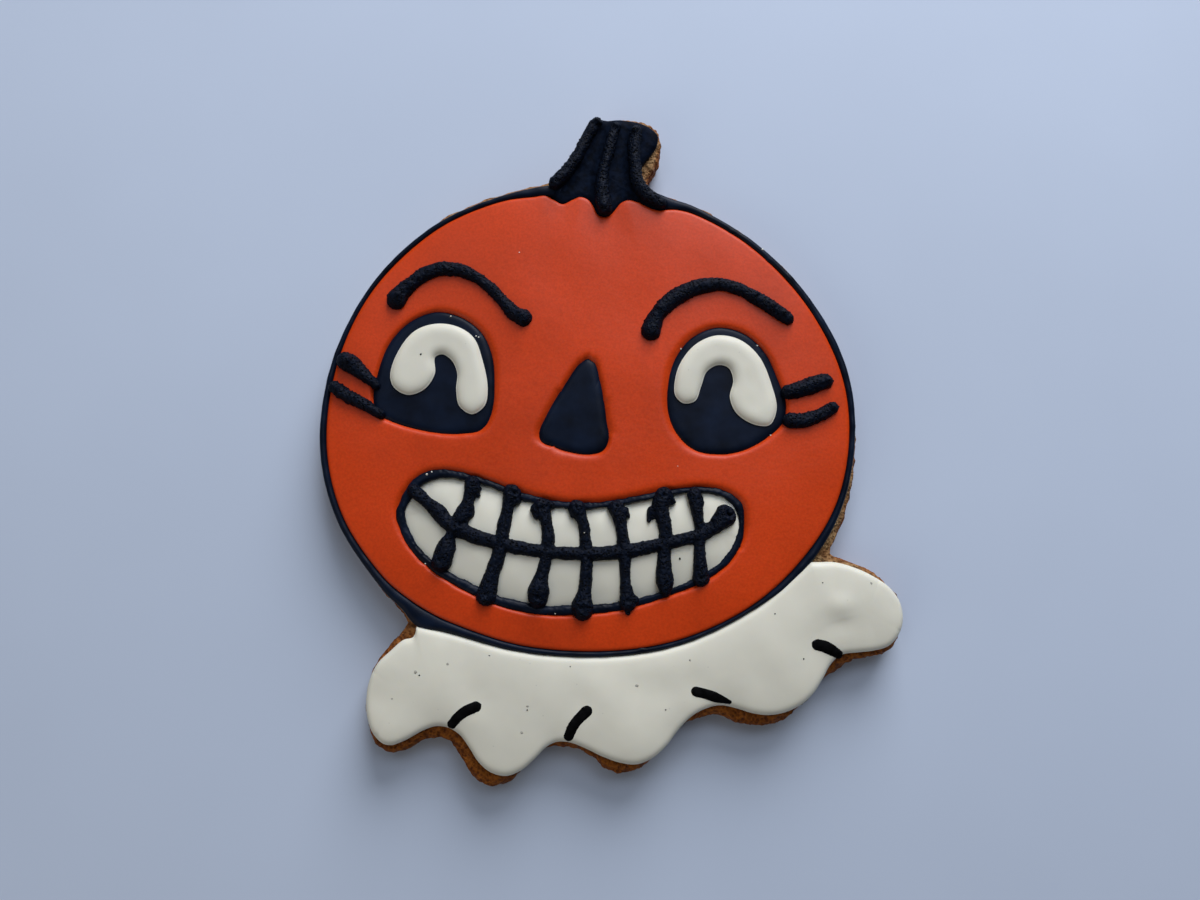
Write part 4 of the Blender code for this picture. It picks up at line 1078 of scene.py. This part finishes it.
class COOKIE_OT_eyes(bpy.types.Operator):
    """Make the eyes and their whites"""

    bl_idname = "cookie.eyes"
    bl_label = "Eyes"

    def execute(self, context):
        """Black pools let into the orange, with a raised crescent of ivory on each."""
        sizes = context.scene.cookie_sizes
        black, white = sizes.black_flood / MM, sizes.white_crown / MM
        middles = {"left": (-28.0, 10.0), "right": (19.0, 7.0)}
        for seed, (side, points) in enumerate(EYES.items(), 51):
            loop = outline(points)

            def pool(at, loop=loop, seed=seed):
                edge = edge_distance(at, loop)
                return black - rounded(edge, 1.1, 0.45) + 0.008 * relief(at, 3.0, seed)

            flood("eye_%s_flood" % side, loop, middles[side], 52, 0, pool, POOL_FOOT, "black",
                  "eye_" + side)
            crescent = outline(seen_at(EYE_WHITES[side], WHITE_EDGE))
            spine = seen_at(WHITE_SPINES[side], WHITE_EDGE)

            def puff(at, loop=crescent, seed=seed):
                edge = soft_distance(at, loop)
                return white - rounded(edge, 1.75, 0.95) + 0.012 * relief(at, 4.0, seed + 4)

            flood("eye_%s_white" % side, crescent, spine, 26, 100, puff, black - 0.2, "ivory",
                  "eye_white_" + side, soft=0)
        return {"FINISHED"}


class COOKIE_OT_nose(bpy.types.Operator):
    """Make the nose"""

    bl_idname = "cookie.nose"
    bl_label = "Nose"

    def execute(self, context):
        """A black pool let into the orange."""
        top = context.scene.cookie_sizes.black_flood / MM
        loop = outline(NOSE)

        def height(points):
            edge = edge_distance(points, loop)
            return top + 0.1 - rounded(edge, 1.4, 0.55) + 0.008 * relief(points, 3.0, 61)

        flood("nose_flood", loop, (-4.5, 2.0), 40, 0, height, POOL_FOOT, "black", "nose")
        return {"FINISHED"}


class COOKIE_OT_mouth(bpy.types.Operator):
    """Make the mouth: its line, the teeth and the lines across them"""

    bl_idname = "cookie.mouth"
    bl_label = "Mouth"

    def execute(self, context):
        """An ivory pool inside a thin line, crossed by piped lines that run together."""
        sizes = context.scene.cookie_sizes
        top = sizes.teeth_top / MM
        loop = outline(MOUTH)
        runs = [even_path(path, 0.5)[:, :2] for path in (BITE_LINE,) + TOOTH_LINES]

        def height(points):
            edge = soft_distance(points, loop)
            gap = np.min([edge_distance(points, run) for run in runs], axis=0)
            sunk = 0.22 * np.exp(-(gap / 1.5) ** 2)
            bow = 0.003 * (points[..., 1] + 18.0) ** 2
            end = np.clip((points[..., 0] - 13.0) / 5.0, 0.0, 1.0)
            bow += end * 0.03 * (points[..., 1] + 9.0)
            return (top + 0.45 - (1.12 - 0.17 * end) * np.exp(-edge / 3.2) - sunk - bow
                    + 0.03 * relief(points, 5.0, 71))

        flood("teeth_flood", loop, MOUTH_SPINE, 44, 190, height, POOL_FOOT, "ivory", "teeth",
              soft=20)
        rows = np.column_stack((MOUTH, MOUTH_REACH))
        fine = curve_through(np.vstack((rows[-3:], rows, rows[:3])))[SPAN * 3:-SPAN * 3 - 1]
        fine = np.vstack((fine, fine[:1]))
        middle = at_lengths(fine, np.linspace(0.0, run_length(fine)[-1], 640))[:-1]
        side = right_of(around(middle[:, :2]))
        angle = np.radians(np.linspace(-15, 195, 18))
        wide, up = np.cos(angle), (np.sin(angle) + 0.26) / 1.26
        spread = np.where(wide > 0, middle[:, 3:], middle[:, 2:3])
        spread = spread + 0.04 * relief(middle[:, :2], 1.8, 72)[:, None]
        flat = middle[:, None, :2] + side[:, None, :] * (spread * wide)[:, :, None]
        rise = 6.3 + 0.85 * up + np.zeros(len(middle))[:, None]
        verts = np.dstack((flat, rise)).reshape(-1, 3)
        quads = grid_faces(len(middle) + 1, 18, wrap=True) % len(verts)
        line = make_piece("mouth_line", verts, [quads[:, ::-1]], "black", "mouth_rim")
        roughen(line, crust(0.03, 73))
        lines = piped("tooth_lines", (BITE_LINE,) + TOOTH_LINES + SPURS, top - 0.3,
                      sizes.line_rise / MM)
        run_together(lines, 0.14)
        roughen(lines, crust(0.045, 76), pits(PITS))
        return {"FINISHED"}


class COOKIE_OT_brows_and_lashes(bpy.types.Operator):
    """Make the brows and the lashes"""

    bl_idname = "cookie.brows_and_lashes"
    bl_label = "Brows and lashes"

    def execute(self, context):
        """Crusty lines piped on the orange."""
        rise = context.scene.cookie_sizes.line_rise / MM
        for group, paths, seed in (("brow_", BROWS, 81), ("lash_", LASHES, 88)):
            for number, (side, path) in enumerate(paths.items()):
                line = piped(group + side, [path], PIPED_FOOT, rise)
                roughen(line, crust(0.045, seed + 3 * number), pits(PITS))
        return {"FINISHED"}


class COOKIE_OT_collar(bpy.types.Operator):
    """Make the scalloped collar and its marks"""

    bl_idname = "cookie.collar"
    bl_label = "Collar"

    def execute(self, context):
        """A crowned ivory pool with soft folds, and a flush black stroke at each fold."""
        crown = context.scene.cookie_sizes.collar_crown / MM
        under = [row[:2] for row in HEAD_RING[WEDGE_ROW:WING_ROW + 1]][::-1]
        loop = outline([under[0]] + under + [under[-1]] + list(COLLAR_EDGE))

        def surface(points):
            z = crown - rounded(edge_distance(points, loop), 0.9, 0.6)
            z -= 0.75 * np.exp(-soft_distance(points, loop) / 3.0)
            folds = [(-0.2, x, y + 1.5, 2.0, 2.5) for x, y, _ in (mark[0] for mark in COLLAR_MARKS)]
            for depth, *place in COLLAR_DENTS + tuple(folds):
                z += depth * bump(points, *place)
            return z + 0.05 * relief(points, 9.0, 91) + 0.004 * relief(points, 2.5, 92)

        flood("collar_flood", loop, COLLAR_SPINE, 46, 300, surface, COLLAR_FOOT, "ivory",
              "collar_icing", wall=-0.1)
        for number, path in enumerate(COLLAR_MARKS, 1):
            verts, faces = line_rows(seen_at(path, LINE_EDGE), 0.0, 0.36, columns=24, lean=5)
            verts[:, 2] += surface(verts[:, :2]) - 0.12
            node = "collar_mark_%d" % number
            mark = make_piece(node + "_stroke", verts, faces, "mark", node)
            roughen(mark, crust(0.012, 100 + 3 * number))
        return {"FINISHED"}


class COOKIE_OT_crumbs(bpy.types.Operator):
    """Strew the crumbs and specks"""

    bl_idname = "cookie.crumbs"
    bl_label = "Crumbs"

    def execute(self, context):
        """Small dented balls, flattened and half sunk into whatever icing is highest there."""
        turn, tilt = np.meshgrid(np.radians(np.arange(0, 360, 36)),
                                 np.radians((-70, -35, 0, 35, 70)))
        ball = np.dstack((np.cos(tilt) * np.cos(turn), np.cos(tilt) * np.sin(turn), np.sin(tilt)))
        under = [bpy.data.objects[name] for name in (
            "biscuit_crust", "head_line", "orange_flood", "teeth_flood", "collar_flood",
            "mouth_line", "tooth_lines_piped", "eye_left_flood", "eye_left_white",
            "eye_right_flood", "eye_right_white")]
        for name, places, flat, seed, kind in (
                ("pale_crumbs", PALE_CRUMBS, 0.7, 200, "ivory"),
                ("dark_crumbs", DARK_CRUMBS, 0.6, 240, "piped"),
                ("grey_specks", GREY_SPECKS, 0.22, 270, "dust")):
            verts, quads, caps = [], [], []
            for number, (x, y, size) in enumerate(places):
                x, y, _ = seen_at([(x, y, 0.0)], LINE_EDGE)[0]
                start = ((x - MIDDLE[0]) * MM, (y - MIDDLE[1]) * MM, 0.02)
                hits = [piece.ray_cast(start, (0.0, 0.0, -1.0)) for piece in under]
                height = max(hit[1][2] for hit in hits if hit[0]) / MM
                dents = 1.0 + 0.16 * relief(ball * size, size * 1.6, seed + number)
                lump = ball * dents[..., None] * size * (1.0, 1.0, flat)
                verts.append((lump + (x, y, height + 0.15 * size * flat)).reshape(-1, 3))
                ids = turn.size * number + np.arange(turn.size).reshape(turn.shape)
                quads.append(faces_over(ids)[:, ::-1])
                caps += [ids[:1, ::-1], ids[-1:]]
            make_piece(name, np.vstack(verts), [np.vstack(quads)] + caps, kind)
        return {"FINISHED"}


class COOKIE_OT_stage(bpy.types.Operator):
    """Make the plain floor, the studio light and the camera"""

    bl_idname = "cookie.stage"
    bl_label = "Stage"

    def execute(self, context):
        """A pale sheet, a large soft light beyond the stem, and a camera above the collar."""
        scene = context.scene
        floor = bpy.data.meshes.new("floor")
        corners = ((-1, -1), (1, -1), (1, 1), (-1, 1))
        floor.from_pydata([(x * FLOOR_REACH, y * FLOOR_REACH, -FLOOR_GAP) for x, y in corners],
                          [], [(0, 1, 2, 3)])
        floor.materials.append(finish_of("floor"))
        sheet = bpy.data.objects.new("floor", floor)
        scene.collection.objects.link(sheet)

        world = bpy.data.worlds.new("soft_room")
        world.use_nodes = True
        sky = world.node_tree.nodes["Background"]
        sky.inputs["Color"].default_value = linear("#b9c6dc")
        sky.inputs["Strength"].default_value = 0.12
        scene.world = world
        for name, spot, size, power, hue in (
                ("window", (0.15, 0.55, 0.30), 0.46, 4.9, "#f4f6ff"),
                ("ceiling", (0.15, 0.30, 0.62), 0.30, 0.85, "#e6eeff"),
                ("ceiling_left", (-0.26, 0.26, 0.62), 0.22, 0.3, "#e6eeff"),
                ("fill", (-0.40, -0.35, 0.35), 0.50, 0.6, "#fff2e0")):
            lamp = bpy.data.lights.new(name, "AREA")
            lamp.shape = "DISK"
            lamp.size = size
            lamp.energy = power
            lamp.color = linear(hue)[:3]
            light = bpy.data.objects.new(name, lamp)
            light.location = spot
            toward = -np.array(spot)
            light.rotation_euler = (math.acos(-toward[2] / np.linalg.norm(toward)), 0.0,
                                    math.atan2(-toward[0], toward[1]))
            scene.collection.objects.link(light)

        lens = bpy.data.cameras.new("camera")
        lens.sensor_width = 36.0
        lens.lens = 27.0
        lens.clip_start = 0.005
        camera = bpy.data.objects.new("camera", lens)
        camera.location = ((EYE[0] - MIDDLE[0]) * MM, (EYE[1] - MIDDLE[1]) * MM, EYE[2] * MM)
        camera.rotation_euler = (math.radians(7.5), 0.0, 0.0)
        scene.collection.objects.link(camera)
        scene.camera = camera
        scene.view_settings.view_transform = "Standard"
        return {"FINISHED"}


STEPS = (COOKIE_OT_biscuit, COOKIE_OT_head_line, COOKIE_OT_orange, COOKIE_OT_stem,
         COOKIE_OT_eyes, COOKIE_OT_nose, COOKIE_OT_mouth, COOKIE_OT_brows_and_lashes,
         COOKIE_OT_collar, COOKIE_OT_crumbs, COOKIE_OT_stage)


class COOKIE_PT_pieces(bpy.types.Panel):
    """The cookie's pieces, and the sizes and colours that they are made from"""

    bl_label = "Iced sugar cookie"
    bl_idname = "COOKIE_PT_pieces"
    bl_space_type = "VIEW_3D"
    bl_region_type = "UI"
    bl_category = "Cookie"

    def draw(self, context):
        """Sizes, colours, then one button for each piece."""
        for group in (context.scene.cookie_sizes, context.scene.cookie_colours):
            box = self.layout.box()
            for name in group.__annotations__:
                box.prop(group, name)
        for step in STEPS:
            self.layout.operator(step.bl_idname)


CLASSES = (CookieSizes, CookieColours) + STEPS + (COOKIE_PT_pieces,)


def register():
    """Register the classes and the scene's settings."""
    for cls in CLASSES:
        bpy.utils.register_class(cls)
    bpy.types.Scene.cookie_sizes = PointerProperty(type=CookieSizes)
    bpy.types.Scene.cookie_colours = PointerProperty(type=CookieColours)


def unregister():
    """Remove the scene's settings and the classes."""
    del bpy.types.Scene.cookie_colours
    del bpy.types.Scene.cookie_sizes
    for cls in reversed(CLASSES):
        bpy.utils.unregister_class(cls)


def main():
    """Build every piece and the stage."""
    register()
    for step in STEPS:
        group, name = step.bl_idname.split(".")
        getattr(getattr(bpy.ops, group), name)()


if __name__ == "__main__":
    main()
